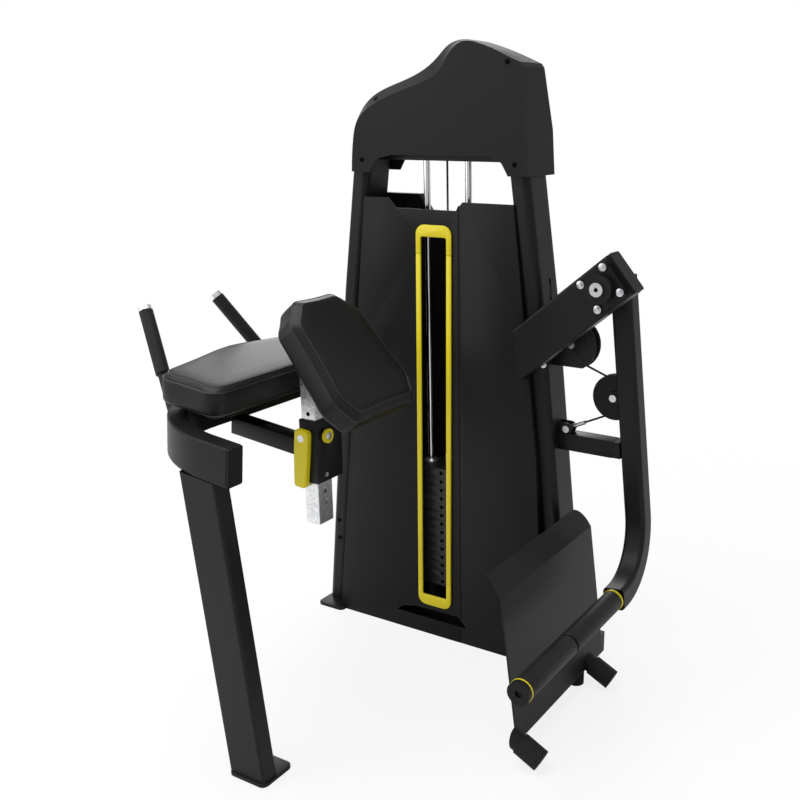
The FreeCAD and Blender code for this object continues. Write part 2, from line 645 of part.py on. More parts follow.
def cables():
    head_top = n.stack_base + n.plate_count * n.plate_pitch + n.plate_thick + n.hitch_tall
    start = at_plane(0, n.pulley_height)
    low = at_plane(0, head_top)
    made("stack_cable", rod(n.cable_radius, low, start))
    up = Z_AXIS * n.pulley_groove
    left_up = Vector(-1, 0, 1)
    right_up = Vector(1, 0, 1)
    edges = [
        arc(FIRST_TOP, start, FIRST_TOP + up, left_up),
        Part.LineSegment(FIRST_TOP + up, SECOND_TOP + up).toShape(),
        arc(SECOND_TOP, SECOND_TOP + up, DROP[0], right_up),
        Part.LineSegment(DROP[0], DROP[1]).toShape(),
    ]
    made("top_cable", cable_tube(edges))
    end = TERMINAL + (LOWER_RUN[1] - TERMINAL).normalize() * n.terminal_long
    edges = [
        arc(REDIRECT, DROP[1], UPPER_RUN[0], Vector(-1, 0, -1)),
        Part.LineSegment(UPPER_RUN[0], UPPER_RUN[1]).toShape(),
        arc(ARM_PULLEY, UPPER_RUN[1], LOWER_RUN[1], X_AXIS),
        Part.LineSegment(LOWER_RUN[1], end).toShape(),
    ]
    made("arm_cable", cable_tube(edges))


# Box beam and pivot. Their own frame has the pivot at its origin and X along the beam.
BEAM_TURN = FreeCAD.Placement(Vector(n.pivot_x, 0, n.pivot_z), Rotation(Y_AXIS, -n.beam_angle))
BEAM_FRONT = n.upright_front - n.beam_deep


TUBE_PLUGS = []


def box_beam():
    tube = straight_tube(n.beam_deep, n.beam_tall, n.beam_corner, n.beam_wall, 4 * n.beam_tall)[0]
    along = Rotation(Y_AXIS, 90).multiply(Rotation(Z_AXIS, 90))
    middle = n.upright_front - n.beam_deep / 2
    lie = FreeCAD.Placement(Vector(n.beam_past - 4 * n.beam_tall, middle, 0), along)
    tube = tube.transformed(lie.toMatrix())
    bore = rod(n.shaft_radius + n.shaft_fit + n.side_gap, Vector(0, BEAM_FRONT - n.overrun, 0),
               Vector(0, n.upright_front + n.overrun, 0))
    tube = tube.cut(bore).transformed(BEAM_TURN.toMatrix())
    made("box_beam", tube.cut(beam_end(0)))
    bevel = n.plug_lip
    end = n.beam_past
    for rib in range(3):
        wide, tall, long = n.beam_deep - bevel, n.beam_tall - bevel, n.plug_rib
        plugs = [straight_tube(wide, tall, n.beam_corner, n.beam_wall, long)[1]]
        if rib < 2:
            neck = 2 * bevel
            plugs.append(shift(straight_tube(wide - neck, tall - neck, n.beam_corner, n.beam_wall,
                                             n.plug_groove)[1], 0, 0, long))
        lie = FreeCAD.Placement(Vector(end, middle, 0), along)
        ribs = [plug.transformed(lie.toMatrix()) for plug in plugs]
        rubber = ribs[0] if rib == 0 else rubber.fuse(ribs[0])
        if rib < 2:
            rubber = rubber.fuse(ribs[1])
        end += long + n.plug_groove
    TUBE_PLUGS.append(rubber.removeSplitter().transformed(BEAM_TURN.toMatrix()))


def beam_end(gap):
    """Everything to the left of the plane where the beam stops, inside the right upright's line."""
    low, high = n.knee_height / 2, n.upright_top
    keep_low = upright_centre(low) - n.upright_width / 2 - gap
    keep_high = upright_centre(n.knee_height) - n.upright_width / 2 - gap
    slope = (keep_high - keep_low) / (n.knee_height - low)
    keep_top = keep_low + slope * (high - low)
    outside = Part.Face(Part.makePolygon(flat([(keep_low, low), (keep_low - n.beam_tall * 4, low),
                                               (keep_top - n.beam_tall * 4, high), (keep_top, high),
                                               (keep_low, low)])))
    return shift(outside, 0, BEAM_FRONT - n.overrun, 0).extrude(Y_AXIS * 2 * n.beam_deep)


def pivot():
    front = BEAM_FRONT - n.flange_thick
    plate = straight_tube(n.flange_side, n.flange_side, n.flange_corner, n.beam_wall, n.flange_thick)[1]
    lie = FreeCAD.Placement(Vector(0, BEAM_FRONT, 0), Rotation(X_AXIS, 90))
    plate = plate.transformed(lie.toMatrix())
    housing = rod(n.housing_radius, Vector(0, front - n.housing_tall, 0), Vector(0, front, 0))
    bore = rod(n.shaft_radius + n.shaft_fit, Vector(0, front - 2 * n.housing_tall, 0),
               Vector(0, BEAM_FRONT + n.overrun, 0))
    front_bearing = plate.fuse(housing).cut(bore)
    back = n.upright_front + n.flange_thick
    plate = straight_tube(n.flange_side, n.flange_side, n.flange_corner, n.beam_wall, n.flange_thick)[1]
    lie = FreeCAD.Placement(Vector(0, back, 0), Rotation(X_AXIS, 90))
    plate = plate.transformed(lie.toMatrix())
    bore = rod(n.shaft_radius + n.shaft_fit, Vector(0, n.upright_front - n.overrun, 0),
               Vector(0, back + n.overrun, 0))
    made("flange_bearings", Part.makeCompound([front_bearing, plate.cut(bore)]), BEAM_TURN)
    half = n.flange_bolt_half
    for x in (-half, half):
        for z in (-half, half):
            bolt = rod(n.flange_bolt, Vector(x, front - n.flange_bolt_tall, z), Vector(x, front, z))
            FRAME_BOLTS.append(bolt.transformed(BEAM_TURN.toMatrix()))
    arm_front = n.arm_plane - n.arm_side / 2
    cap_back = front - n.housing_tall - n.side_gap
    shaft = rod(n.shaft_radius, Vector(n.pivot_x, cap_back, n.pivot_z),
                Vector(n.pivot_x, arm_front, n.pivot_z))
    cap = rod(n.pivot_cap_radius, Vector(n.pivot_x, cap_back - n.pivot_cap_tall, n.pivot_z),
              Vector(n.pivot_x, cap_back, n.pivot_z))
    made("pivot_shaft", shaft.fuse(cap))


# Swing arm, in its own frame: pivot at the origin, Z up along the arm
ARM_TURN = FreeCAD.Placement(Vector(n.pivot_x, 0, n.pivot_z), Rotation(Y_AXIS, -n.arm_lean))


ARM_PLUGS = []


def swing_arm():
    top = Vector(0, n.arm_plane, n.arm_above)
    low = -n.arm_length
    bend_top = Vector(0, n.arm_plane, low + n.arm_bend)
    bend_end = Vector(0, n.arm_plane - n.arm_bend, low)
    diagonal = n.arm_bend * math.sqrt(0.5)
    bend_middle = Vector(0, n.arm_plane - n.arm_bend + diagonal, low + n.arm_bend - diagonal)
    tail = bend_end - Y_AXIS * n.arm_tail
    path = Part.Wire([Part.LineSegment(top, bend_top).toShape(),
                      Part.Arc(bend_top, bend_middle, bend_end).toShape(),
                      Part.LineSegment(bend_end, tail).toShape()])
    tube, outer = swept(path, n.arm_side, n.arm_side, n.arm_corner, n.arm_wall, Rotation())
    local = ARM_TURN.inverse().multVec(ARM_PULLEY)
    half = n.pulley_wide / 2 + n.cheek_gap
    tall = n.arm_pulley_rim + n.cheek_gap
    slot = block(-n.arm_side, n.arm_side / 2 - n.arm_wall, n.cable_plane - half, n.cable_plane + half,
                 local.z - tall, local.z + tall)
    tube = tube.cut(slot)
    hub_start = n.upright_front + n.flange_thick + n.side_gap
    arm_front = n.arm_plane - n.arm_side / 2
    hub = rod(n.hub_radius, Vector(0, hub_start, 0), Vector(0, arm_front, 0))
    hub = hub.cut(rod(n.shaft_radius, Vector(0, hub_start - n.overrun, 0), Vector(0, arm_front, 0)))
    plug = shift(straight_tube(n.arm_side, n.arm_side, n.arm_corner, n.arm_wall, n.arm_wall)[1],
                 0, n.arm_plane, n.arm_above)
    ARM_PLUGS.append(plug.transformed(ARM_TURN.toMatrix()))

    ears = []
    side = n.arm_side / 2
    seat = n.arm_wall - side
    for near in (n.cable_plane - half - n.ear_thick, n.cable_plane + half):
        plate = block(local.x, seat, near, near + n.ear_thick, local.z - n.ear_round,
                      local.z + n.ear_round)
        nose = rod(n.ear_round, Vector(local.x, near, local.z),
                   Vector(local.x, near + n.ear_thick, local.z))
        beyond = block(seat, side, near, near + n.ear_thick, local.z - side, local.z + side)
        hole = rod(n.axle_radius, Vector(local.x, near - n.overrun, local.z),
                   Vector(local.x, near + n.ear_thick + n.overrun, local.z))
        ears.append(plate.fuse(nose).removeSplitter().cut([beyond, hole]))
    made("swing_arm", tube.fuse([hub] + ears).removeSplitter(), ARM_TURN)
    bolt = through_bolt(n.axle_radius, n.head_radius, local.x, n.cable_plane - half - n.ear_thick,
                        n.cable_plane + half + n.ear_thick, local.z)
    made("arm_pulley_bolt", bolt, ARM_TURN)
    pulley("arm_pulley", "lower_groove", "arm_pulley_rim", "arm_pulley_x", "arm_pulley_z")


# Leg roller: its bar runs towards the user from the arm's lower end
TAIL_Y = n.arm_plane - n.arm_bend - n.arm_tail


def roller_ring(x, y, z):
    ring = rod(n.ring_radius, Vector(x, y, z), Vector(x, y + n.ring_wide, z))
    return ring.cut(rod(n.bar_radius, Vector(x, y - n.overrun, z), Vector(x, y + 2 * n.overrun, z)))


def leg_roller():
    axis = ARM_TURN.multVec(Vector(0, 0, -n.arm_length))
    x, z = axis.x, axis.z
    collar = rod(n.collar_radius, Vector(x, TAIL_Y - n.collar_long, z), Vector(x, TAIL_Y, z))
    ARM_PLUGS.append(collar.cut(rod(n.bar_radius, Vector(x, TAIL_Y - 2 * n.collar_long, z),
                                    Vector(x, TAIL_Y, z))))
    ring_bore = n.bar_radius + n.roller_fit
    y = TAIL_Y - n.collar_long
    rings = []
    for label, long in (("far_roller", n.roller_far), (None, n.spacer), ("near_roller", n.roller_near)):
        if label is None:
            y -= long
            continue
        if label == "far_roller":
            rings.append(roller_ring(x, y - n.ring_wide, z))
            y -= n.ring_wide + n.soft_gap
        foam = rod(n.roller_radius, Vector(x, y - long, z), Vector(x, y, z))
        rims = [edge for edge in foam.Edges if isinstance(edge.Curve, Part.Circle)]
        foam = foam.makeFillet(n.foam_round, rims)
        foam = foam.cut(rod(ring_bore, Vector(x, y - 2 * long, z), Vector(x, y + long, z)))
        made(label, foam)
        y -= long + n.soft_gap
    bar_end = y - n.ring_wide
    rings.append(roller_ring(x, bar_end, z))
    made("roller_rings", Part.makeCompound(rings))
    made("roller_bar", rod(n.bar_radius, Vector(x, bar_end, z), Vector(x, TAIL_Y + n.arm_tail, z)))
    cap = rod(n.roller_radius, Vector(x, bar_end - n.end_cap_long, z), Vector(x, bar_end, z))
    hexagon = [Vector(x + n.hex_radius * math.cos(math.radians(60 * i)), bar_end - n.end_cap_long - n.overrun,
                      z + n.hex_radius * math.sin(math.radians(60 * i))) for i in range(6)]
    recess = Part.Face(Part.makePolygon(hexagon + hexagon[:1])).extrude(Y_AXIS * (n.hex_deep + n.overrun))
    ARM_PLUGS.append(cap.cut(recess))
    made("arm_plugs", Part.makeCompound(ARM_PLUGS))


RUBBERS = []


def stop_strut():
    y0 = n.cable_plane - n.strut_side / 2
    y1 = n.cable_plane + n.strut_side / 2
    x0 = upright_centre(n.strut_low)
    z1 = n.strut_low + n.strut_side
    wall = n.strut_wall
    outer = block(x0, n.strut_end, y0, y1, n.strut_low, z1)
    bore = block(x0, n.strut_end - wall, y0 + wall, y1 - wall, n.strut_low + wall, z1 - wall)
    made("stop_strut", outer.cut([bore, UPRIGHT_OUTER]))
    inset = n.bumper_inset
    rubber = block(n.strut_end, n.strut_end + n.strut_side, y0 + inset, y1 - inset, n.strut_low + inset,
                   z1 - inset)
    face = -n.arm_side / 2 - n.soft_gap
    beyond = block(face, n.arm_length, 0, 2 * n.cable_plane, -n.arm_length, 0)
    RUBBERS.append(rubber.cut(beyond.transformed(ARM_TURN.toMatrix())))


# Base on the right


def kick_slope():
    return (n.kick_foot_x - n.kick_fold_x) / (n.kick_fold_z - n.kick_foot_z)


def kick_back(z):
    """X of the kick plate's hidden face at a height below the fold."""
    lean = math.atan(kick_slope())
    return n.kick_foot_x - (z - n.kick_foot_z) * kick_slope() - n.kick_thick / math.cos(lean)


SIDE_BEAM_FACE = kick_back(n.side_beam_low + n.side_beam_tall) - n.weld_gap
STUB_AXIS = Vector(math.cos(math.radians(n.stub_slope)), 0, -math.sin(math.radians(n.stub_slope)))


def stub_points(y):
    """Mouth of the rubber cap, and the centre of its end disc, which rests its lowest rim on the floor."""
    slope = math.radians(n.stub_slope)
    end_z = n.cap_radius * math.cos(slope)
    end_x = n.cap_mouth_x + n.cap_long * math.cos(slope)
    end = Vector(end_x, y, end_z)
    return end - STUB_AXIS * n.cap_long, end


def side_base():
    x1 = SIDE_BEAM_FACE
    x0 = x1 - n.side_beam_wide
    z0, z1 = n.side_beam_low, n.side_beam_low + n.side_beam_tall
    wall = n.base_wall
    outer = block(x0, x1, n.side_beam_near, n.side_beam_far, z0, z1)
    bore = block(x0 + wall, x1 - wall, n.side_beam_near, n.side_beam_far - wall, z0 + wall, z1 - wall)
    mitre = [Vector(x0, n.side_beam_near, z0), Vector(x1, n.side_beam_near, z0),
             Vector(x0, n.side_beam_near + n.side_beam_mitre, z0)]
    mitre_cut = Part.Face(Part.makePolygon(mitre + mitre[:1])).extrude(Z_AXIS * n.side_beam_tall)
    side_beam = outer.cut([bore, mitre_cut])
    reach = upright_centre(z0)
    tie = block(reach, x0, n.tie_near, n.tie_near + n.tie_deep, z0, z1)
    bore = block(reach, x0, n.tie_near + wall, n.tie_near + n.tie_deep - wall, z0 + wall, z1 - wall)
    tie = tie.cut([bore, UPRIGHT_OUTER])
    stubs, caps = [], []
    beam_side = block(x0 - n.side_beam_wide, x1, n.side_beam_near - n.side_beam_tall, n.side_beam_far,
                      0, z1 + n.side_beam_tall)
    for y in (n.stub_near, n.stub_far):
        mouth, end = stub_points(y)
        inside = end - STUB_AXIS * n.cap_end
        tube = rod(n.stub_radius, mouth - STUB_AXIS * n.cap_long, inside)
        tube = tube.cut(rod(n.stub_radius - wall, mouth - STUB_AXIS * n.cap_long, inside))
        stubs.append(tube.cut(beam_side))
        cap = rod(n.cap_radius, mouth, end).cut(rod(n.stub_radius, mouth - STUB_AXIS, inside))
        caps.append(cap)
    low = n.side_beam_low + n.side_beam_tall
    high = low + n.rib_rise
    points = [(x0, low), (kick_back(low) - n.weld_gap, low), (kick_back(high) - n.weld_gap, high)]
    rib = Part.Face(Part.makePolygon(flat(points + points[:1]))).extrude(Y_AXIS * n.rib_thick)
    ribs = [shift(rib, 0, y, 0) for y in (n.rib_near, n.rib_far)]
    made("side_base", side_beam.fuse([tie] + stubs + ribs).removeSplitter())
    foot_x = x1 - n.rubber_foot_radius
    foot = rod(n.rubber_foot_radius, Vector(foot_x, n.rubber_foot_y, 0),
               Vector(foot_x, n.rubber_foot_y, n.side_beam_low))
    RUBBERS.append(foot)
    made("rubber_feet", Part.makeCompound(caps + RUBBERS))


def kick_plate():
    lean = math.atan(kick_slope())
    lip = math.atan((n.kick_fold_x - n.kick_lip_x) / (n.kick_lip_z - n.kick_fold_z))
    thick = n.kick_thick
    inner_foot = (n.kick_foot_x - thick / math.cos(lean), n.kick_foot_z)
    inner_fold = (n.kick_fold_x - thick * math.cos((lean + lip) / 2) / math.cos((lip - lean) / 2),
                  n.kick_fold_z - thick * math.sin((lean + lip) / 2) / math.cos((lip - lean) / 2))
    inner_lip = (n.kick_lip_x - thick * math.cos(lip), n.kick_lip_z - thick * math.sin(lip))
    profile = [(n.kick_foot_x, n.kick_foot_z), (n.kick_fold_x, n.kick_fold_z), (n.kick_lip_x, n.kick_lip_z),
               inner_lip, inner_fold, inner_foot]
    wire = Part.makePolygon(flat(profile + profile[:1]))
    sheet_metal = shift(Part.Face(wire).extrude(Y_AXIS * (n.kick_far - n.kick_near)), 0, n.kick_near, 0)
    corner = block(n.kick_lip_x - n.kick_corner, n.kick_foot_x, n.kick_far - n.kick_corner, n.kick_far,
                   n.kick_lip_z - n.kick_corner, n.kick_lip_z)
    round_off = rod(n.kick_corner, Vector(n.kick_lip_x - 2 * n.kick_corner, n.kick_far - n.kick_corner,
                                          n.kick_lip_z - n.kick_corner),
                    Vector(n.kick_foot_x, n.kick_far - n.kick_corner, n.kick_lip_z - n.kick_corner))
    notches = []
    for y in (n.stub_near, n.stub_far):
        mouth, end = stub_points(y)
        notches.append(rod(n.stub_radius + n.weld_gap, mouth - STUB_AXIS * n.cap_long, end))
    made("kick_plate", sheet_metal.cut([corner.cut(round_off)] + notches))


# Left side. The seat frame tilts about Y; its origin is on the rear beam's centre line.
SEAT_TURN = FreeCAD.Placement(Vector(n.beam_x, 0, n.beam_z), Rotation(Y_AXIS, n.seat_tilt))
POST_MIDDLE = n.post_front + n.post_deep / 2


def arc_path():
    """From the free end to the left, round the bend and back to the left upright."""
    end_local = SEAT_TURN.inverse().multVec(Vector(n.arc_end_x, 0, n.beam_z)).x
    bend = n.arc_bend
    corner = Vector(0, POST_MIDDLE, 0)
    diagonal = bend * (1 - math.sqrt(0.5))
    start = Vector(end_local, POST_MIDDLE, 0)
    bend_start = corner + X_AXIS * bend
    bend_end = corner + Y_AXIS * bend
    middle = corner + Vector(diagonal, diagonal, 0)
    end = Vector(0, n.upright_front, 0)
    return Part.Wire([Part.LineSegment(start, bend_start).toShape(),
                      Part.Arc(bend_start, middle, bend_end).toShape(),
                      Part.LineSegment(bend_end, end).toShape()]), start


def left_frame():
    path, start = arc_path()
    face_left = Rotation(Y_AXIS, -90)
    tube, outer = swept(path, n.arc_tall, n.arc_deep, n.arc_corner, n.arc_wall, face_left)
    made("arc_tube", tube, SEAT_TURN)
    plug = straight_tube(n.arc_tall - n.plug_lip, n.arc_deep - n.plug_lip, n.arc_corner, n.arc_wall,
                         n.arc_plug_long)[1]
    plug = plug.transformed(FreeCAD.Placement(start, Rotation(Y_AXIS, 90)).toMatrix())
    TUBE_PLUGS.append(plug.transformed(SEAT_TURN.toMatrix()))
    made("tube_plugs", Part.makeCompound(TUBE_PLUGS))

    lean = Rotation(Y_AXIS, -n.post_lean)
    tube = straight_tube(n.post_wide, n.post_deep, n.post_corner, n.post_wall, 2 * n.beam_z)[0]
    post = tube.transformed(FreeCAD.Placement(Vector(n.post_foot_x, POST_MIDDLE, -n.beam_z), lean).toMatrix())
    shiftx = -math.tan(math.radians(n.post_lean)) * -n.beam_z
    post = shift(post, shiftx, 0, 0)
    half = n.arc_tall / 2
    above = block(-n.beam_z, n.beam_z, 2 * n.post_front, 0, -half, 2 * n.beam_z)
    below = block(-n.beam_z, n.beam_z, 2 * n.post_front, 0, -2 * n.beam_z, n.foot_thick)
    made("front_post", post.cut([above.transformed(SEAT_TURN.toMatrix()), below]))


SLEEVE_X0 = n.slide_x - n.slide_wide / 2 - n.post_fit - n.sleeve_wall
SLEEVE_X1 = n.slide_x + n.slide_wide / 2 + n.post_fit + n.sleeve_wall
SLEEVE_Y0 = n.slide_y - n.slide_deep / 2 - n.post_fit - n.sleeve_wall


def chest_turn():
    return FreeCAD.Placement(Vector(n.chest_x, n.chest_y, n.chest_z), Rotation(Y_AXIS, n.chest_slope))


def link_and_sleeve():
    side, wall = n.link_side, n.link_wall
    long = 2 * n.link_side + SLEEVE_X0 - n.beam_x
    outer = block(-long, long, -side / 2, side / 2, -side / 2, side / 2)
    bore = block(-long, long, wall - side / 2, side / 2 - wall, wall - side / 2, side / 2 - wall)
    turn = FreeCAD.Placement(Vector(SLEEVE_X0, n.link_y, n.link_z), Rotation(Y_AXIS, n.seat_tilt))
    link = outer.cut(bore).transformed(turn.toMatrix())
    past = block(SLEEVE_X0, SLEEVE_X0 + 2 * long, 2 * n.link_y, 0, 0, 2 * n.link_z)
    half = n.arc_deep / 2
    before = block(-3 * long, half, 2 * n.link_y, 0, -2 * n.link_z, 2 * n.link_z)
    before = before.transformed(SEAT_TURN.toMatrix())
    made("link_beam", link.cut([past, before]))
    sleeve = block(SLEEVE_X0, SLEEVE_X1, SLEEVE_Y0, n.sleeve_back, n.sleeve_low, n.sleeve_high)
    wide = n.slide_wide / 2 + n.post_fit
    deep = n.slide_deep / 2 + n.post_fit
    bore = block(n.slide_x - wide, n.slide_x + wide, n.slide_y - deep, n.slide_y + deep,
                 n.sleeve_low - n.overrun, n.sleeve_high + n.overrun)
    pin_hole = rod(n.pin_radius + n.post_fit, Vector(n.slide_x, n.slide_y, n.pin_z),
                   Vector(SLEEVE_X1 + n.pin_collar, n.slide_y, n.pin_z))
    collar_end = SLEEVE_X1 + n.pin_collar_long
    collar = rod(n.pin_collar, Vector(SLEEVE_X1, n.slide_y, n.pin_z), Vector(collar_end, n.slide_y, n.pin_z))
    made("post_sleeve", sleeve.fuse(collar).cut([bore, pin_hole]))
    bolt = rod(n.sleeve_bolt, Vector(SLEEVE_X1, n.slide_y, n.sleeve_bolt_z),
               Vector(SLEEVE_X1 + n.sleeve_bolt / 2, n.slide_y, n.sleeve_bolt_z))
    FRAME_BOLTS.append(bolt)
    ring_start = collar_end + n.side_gap
    tip = SLEEVE_X1 - n.sleeve_wall + n.pin_back
    pin = rod(n.pin_radius, Vector(tip, n.slide_y, n.pin_z), Vector(ring_start + n.pin_ring_long, n.slide_y, n.pin_z))
    made("locking_pin", pin)
    ring = rod(n.pin_ring, Vector(ring_start, n.slide_y, n.pin_z),
               Vector(ring_start + n.pin_ring_long, n.slide_y, n.pin_z))
    made("pin_ring", ring.cut(rod(n.pin_radius, Vector(ring_start - n.overrun, n.slide_y, n.pin_z),
                                  Vector(ring_start + 2 * n.overrun, n.slide_y, n.pin_z))))


def slide_post():
    tube = straight_tube(n.slide_wide, n.slide_deep, n.slide_wall / 2, n.slide_wall, n.chest_z)[0]
    tube = shift(tube, n.slide_x, n.slide_y, n.slide_low)
    above = block(-n.chest_z, n.chest_z, -n.chest_z, n.chest_z, -n.chest_thick - n.chest_board
                  - n.pad_plate_thick, n.chest_z)
    above = above.transformed(chest_turn().toMatrix())
    holes = []
    right = n.slide_x + n.slide_wide
    pin_z = n.pin_z
    while pin_z > n.slide_low + n.hole_pitch:
        holes.append(rod(n.pin_radius + n.post_fit, Vector(n.slide_x, n.slide_y, pin_z),
                         Vector(right, n.slide_y, pin_z)))
        pin_z -= n.hole_pitch
    made("slide_post", tube.cut([above] + holes))


def lever():
    wide, tip, long = n.lever_wide / 2, n.lever_tip / 2, n.lever_long
    top = wide
    corners = [Vector(-wide, 0, top), Vector(wide, 0, top), Vector(wide, 0, -long / 3),
               Vector(tip, 0, top - long), Vector(-tip, 0, top - long), Vector(-wide, 0, -long / 3)]
    outline = round_outline(corners, [wide / 2, wide / 2, wide, tip / 2, tip / 2, wide])
    paddle = Part.Face(outline).extrude(Y_AXIS * n.lever_thick)
    paddle = paddle.makeFillet(n.lever_thick / 4, [edge for edge in paddle.Edges
                                                    if edge.BoundBox.YMax < n.lever_thick / 4])
    hole = rod(n.lever_boss, Vector(0, -n.overrun, 0), Vector(0, 2 * n.lever_thick, 0))
    front = SLEEVE_Y0 - n.lever_gap - n.lever_thick
    turn = FreeCAD.Placement(Vector(n.lever_x, front, n.lever_z), Rotation(Y_AXIS, n.lever_tilt))
    made("release_lever", paddle.cut(hole), turn)
    boss = rod(n.lever_boss - n.axle_fit, Vector(n.lever_x, front, n.lever_z), Vector(n.lever_x, SLEEVE_Y0, n.lever_z))
    FRAME_BOLTS.append(boss)
    made("frame_bolts", Part.makeCompound(FRAME_BOLTS))


# Pads


def cushion(corners, radii, half_long, half_wide, levels):
    """A padded solid: one rounded outline, drawn in by an inset at each level."""
    wires = []
    for height, inset in levels:
        along = (half_long - inset) / half_long
        across = (half_wide - inset) / half_wide
        points = [Vector(x * along, y * across, height) for x, y in corners]
        wires.append(round_outline(points, [radius * min(along, across) for radius in radii]))
    return Part.makeLoft(wires, True, True)


def pad_levels(thick):
    """Heights and insets as shares of the thickness: drawn-in foot, full side, chamfer and crown."""
    foot_share, side_share, edge_share, rim_share = 0.08, 0.55, 0.87, 0.95
    inset_foot_share, inset_edge_share, inset_rim_share, inset_top_share = 0.1, 0.24, 0.45, 0.9
    return [(0, inset_foot_share * thick), (foot_share * thick, 0), (side_share * thick, 0),
            (edge_share * thick, inset_edge_share * thick), (rim_share * thick, inset_rim_share * thick),
            (thick, inset_top_share * thick)]


def chest_corners():
    right = [(-n.chest_head, n.chest_head_half), (-n.chest_shoulder, n.chest_shoulder_half),
             (n.chest_hip, n.chest_hip_half), (n.chest_half, n.chest_foot_half)]
    return [(x, -y) for x, y in right] + [(x, y) for x, y in reversed(right)]


def chest_pad():
    corners = chest_corners()
    radii = [n.chest_corner] * len(corners)
    pad = cushion(corners, radii, n.chest_half, n.chest_hip_half, pad_levels(n.chest_thick))
    made("chest_pad", shift(pad, 0, 0, -n.chest_thick), chest_turn())
    along = 1 - n.board_inset / n.chest_half
    wire = round_outline([Vector(x * along, y * along, 0) for x, y in corners], radii)
    board = Part.Face(wire).extrude(Z_AXIS * n.chest_board)
    made("chest_pad_board", shift(board, 0, 0, -n.chest_thick - n.chest_board), chest_turn())
    post_local = chest_turn().inverse().multVec(Vector(n.slide_x, n.slide_y, n.chest_z)).x
    plate = Part.Face(section(n.pad_plate_long, n.pad_plate_wide, n.chest_corner)).extrude(
        Z_AXIS * n.pad_plate_thick)
    back = n.chest_thick + n.chest_board + n.pad_plate_thick
    middle = chest_turn().inverse().multVec(Vector(n.slide_x, n.slide_y, 0))
    slope = math.radians(n.chest_slope)
    across = (n.slide_x - n.chest_x + back * math.sin(slope)) / math.cos(slope)
    made("pad_plate", shift(plate, across, middle.y, -back), chest_turn())


def elbow_turn():
    """Frame of the elbow pad: under its board, over the rear beam."""
    local = SEAT_TURN.inverse().multVec(Vector(n.elbow_x, 0, n.beam_z)).x
    base = SEAT_TURN.multVec(Vector(local, n.elbow_y, n.arc_tall / 2 + n.elbow_rise))
    return FreeCAD.Placement(base, Rotation(Y_AXIS, n.seat_tilt))


def elbow_pad():
    right, left_end, left_mid, half = n.elbow_right, n.elbow_left_end, n.elbow_left_mid, n.elbow_half
    corners = [(left_end, -half), (right, -half), (right, half), (left_end, half),
               (left_mid, half / 4), (left_mid, -half / 4)]
    corner = n.elbow_corner
    radii = [corner, corner, corner, corner, half / 3, half / 3]
    pad = cushion(corners, radii, right, half, pad_levels(n.elbow_thick))
    made("elbow_pad", shift(pad, 0, 0, n.elbow_board), elbow_turn())
    shrink = n.board_inset
    board_points = [Vector(x - math.copysign(shrink, x), y - math.copysign(shrink, y), 0)
                    for x, y in corners]
    board = Part.Face(round_outline(board_points, [corner / 2] * 4 + [half / 3] * 2))
    made("elbow_pad_board", board.extrude(Z_AXIS * n.elbow_board), elbow_turn())
    half_beam = n.arc_tall / 2
    rails = []
    for y in (n.elbow_y - n.rail_half, n.elbow_y + n.rail_half):
        rails.append(block(-n.arc_deep / 2, n.rail_long, y - n.rail_wide / 2, y + n.rail_wide / 2,
                           half_beam, half_beam + n.elbow_rise))
    made("elbow_pad_rails", Part.makeCompound(rails), SEAT_TURN)


def handles():
    bars, grips, caps = [], [], []
    tube = swept(arc_path()[0], n.arc_tall, n.arc_deep, n.arc_corner, n.arc_wall, Rotation(Y_AXIS, -90))[1]
    tube = tube.transformed(SEAT_TURN.toMatrix())
    for side in (-1, 1):
        top = Vector(n.handle_x, n.elbow_y + side * n.handle_half, n.handle_z)
        up = Vector(-n.handle_lean, -side * n.handle_inward, n.handle_rise).normalize()
        under_cap = top - up * n.handle_cap
        pieces = rod(n.handle_tube, top - up * n.handle_reach, under_cap).cut(tube).Solids
        bars.append(max(pieces, key=lambda piece: piece.BoundBox.ZMax))
        grip = rod(n.grip_radius, under_cap - up * n.grip_long, under_cap)
        grips.append(grip.cut(rod(n.handle_tube, top - up * 2 * n.grip_long, top)))
        caps.append(rod(n.grip_radius, under_cap, top))
    made("handle_bars", Part.makeCompound(bars))
    made("handle_grips", Part.makeCompound(grips))
    made("handle_end_caps", Part.makeCompound(caps))


# Shrouds and cover


def slanted(shape_points, front_offset, back):
    """A panel from the slanted front plane, set back by an offset, to a plane at y = back."""
    deep = n.shroud_back + n.overrun
    prism = shift(Part.Face(Part.makePolygon(flat(shape_points + shape_points[:1]))).extrude(Y_AXIS * deep),
                  0, -n.overrun, 0)
    rise = n.shroud_top - n.shroud_low
    run = n.shroud_top_front
    low, high = n.shroud_low - rise, n.shroud_top + rise
    keep = [Vector(0, front_offset - run, low), Vector(0, front_offset + 2 * run, high),
            Vector(0, back, high), Vector(0, back, low)]
    wide = 2 * n.shroud_foot_half
    side = shift(Part.Face(Part.makePolygon(keep + keep[:1])).extrude(X_AXIS * 2 * wide), -wide, 0, 0)
    return prism.common(side)


def inset(points, wall):
    """The outline drawn in by a wall, corner by corner."""
    wire = Part.makePolygon(flat(points + points[:1]))
    inner = Part.Face(wire).makeOffset2D(-wall)
    return [(vertex.Point.x, vertex.Point.z) for vertex in inner.OuterWire.OrderedVertexes]


def seam_x(z):
    share = (z - n.shroud_low) / (n.shroud_top - n.shroud_low)
    return n.seam_low_x + (n.seam_top_x - n.seam_low_x) * share


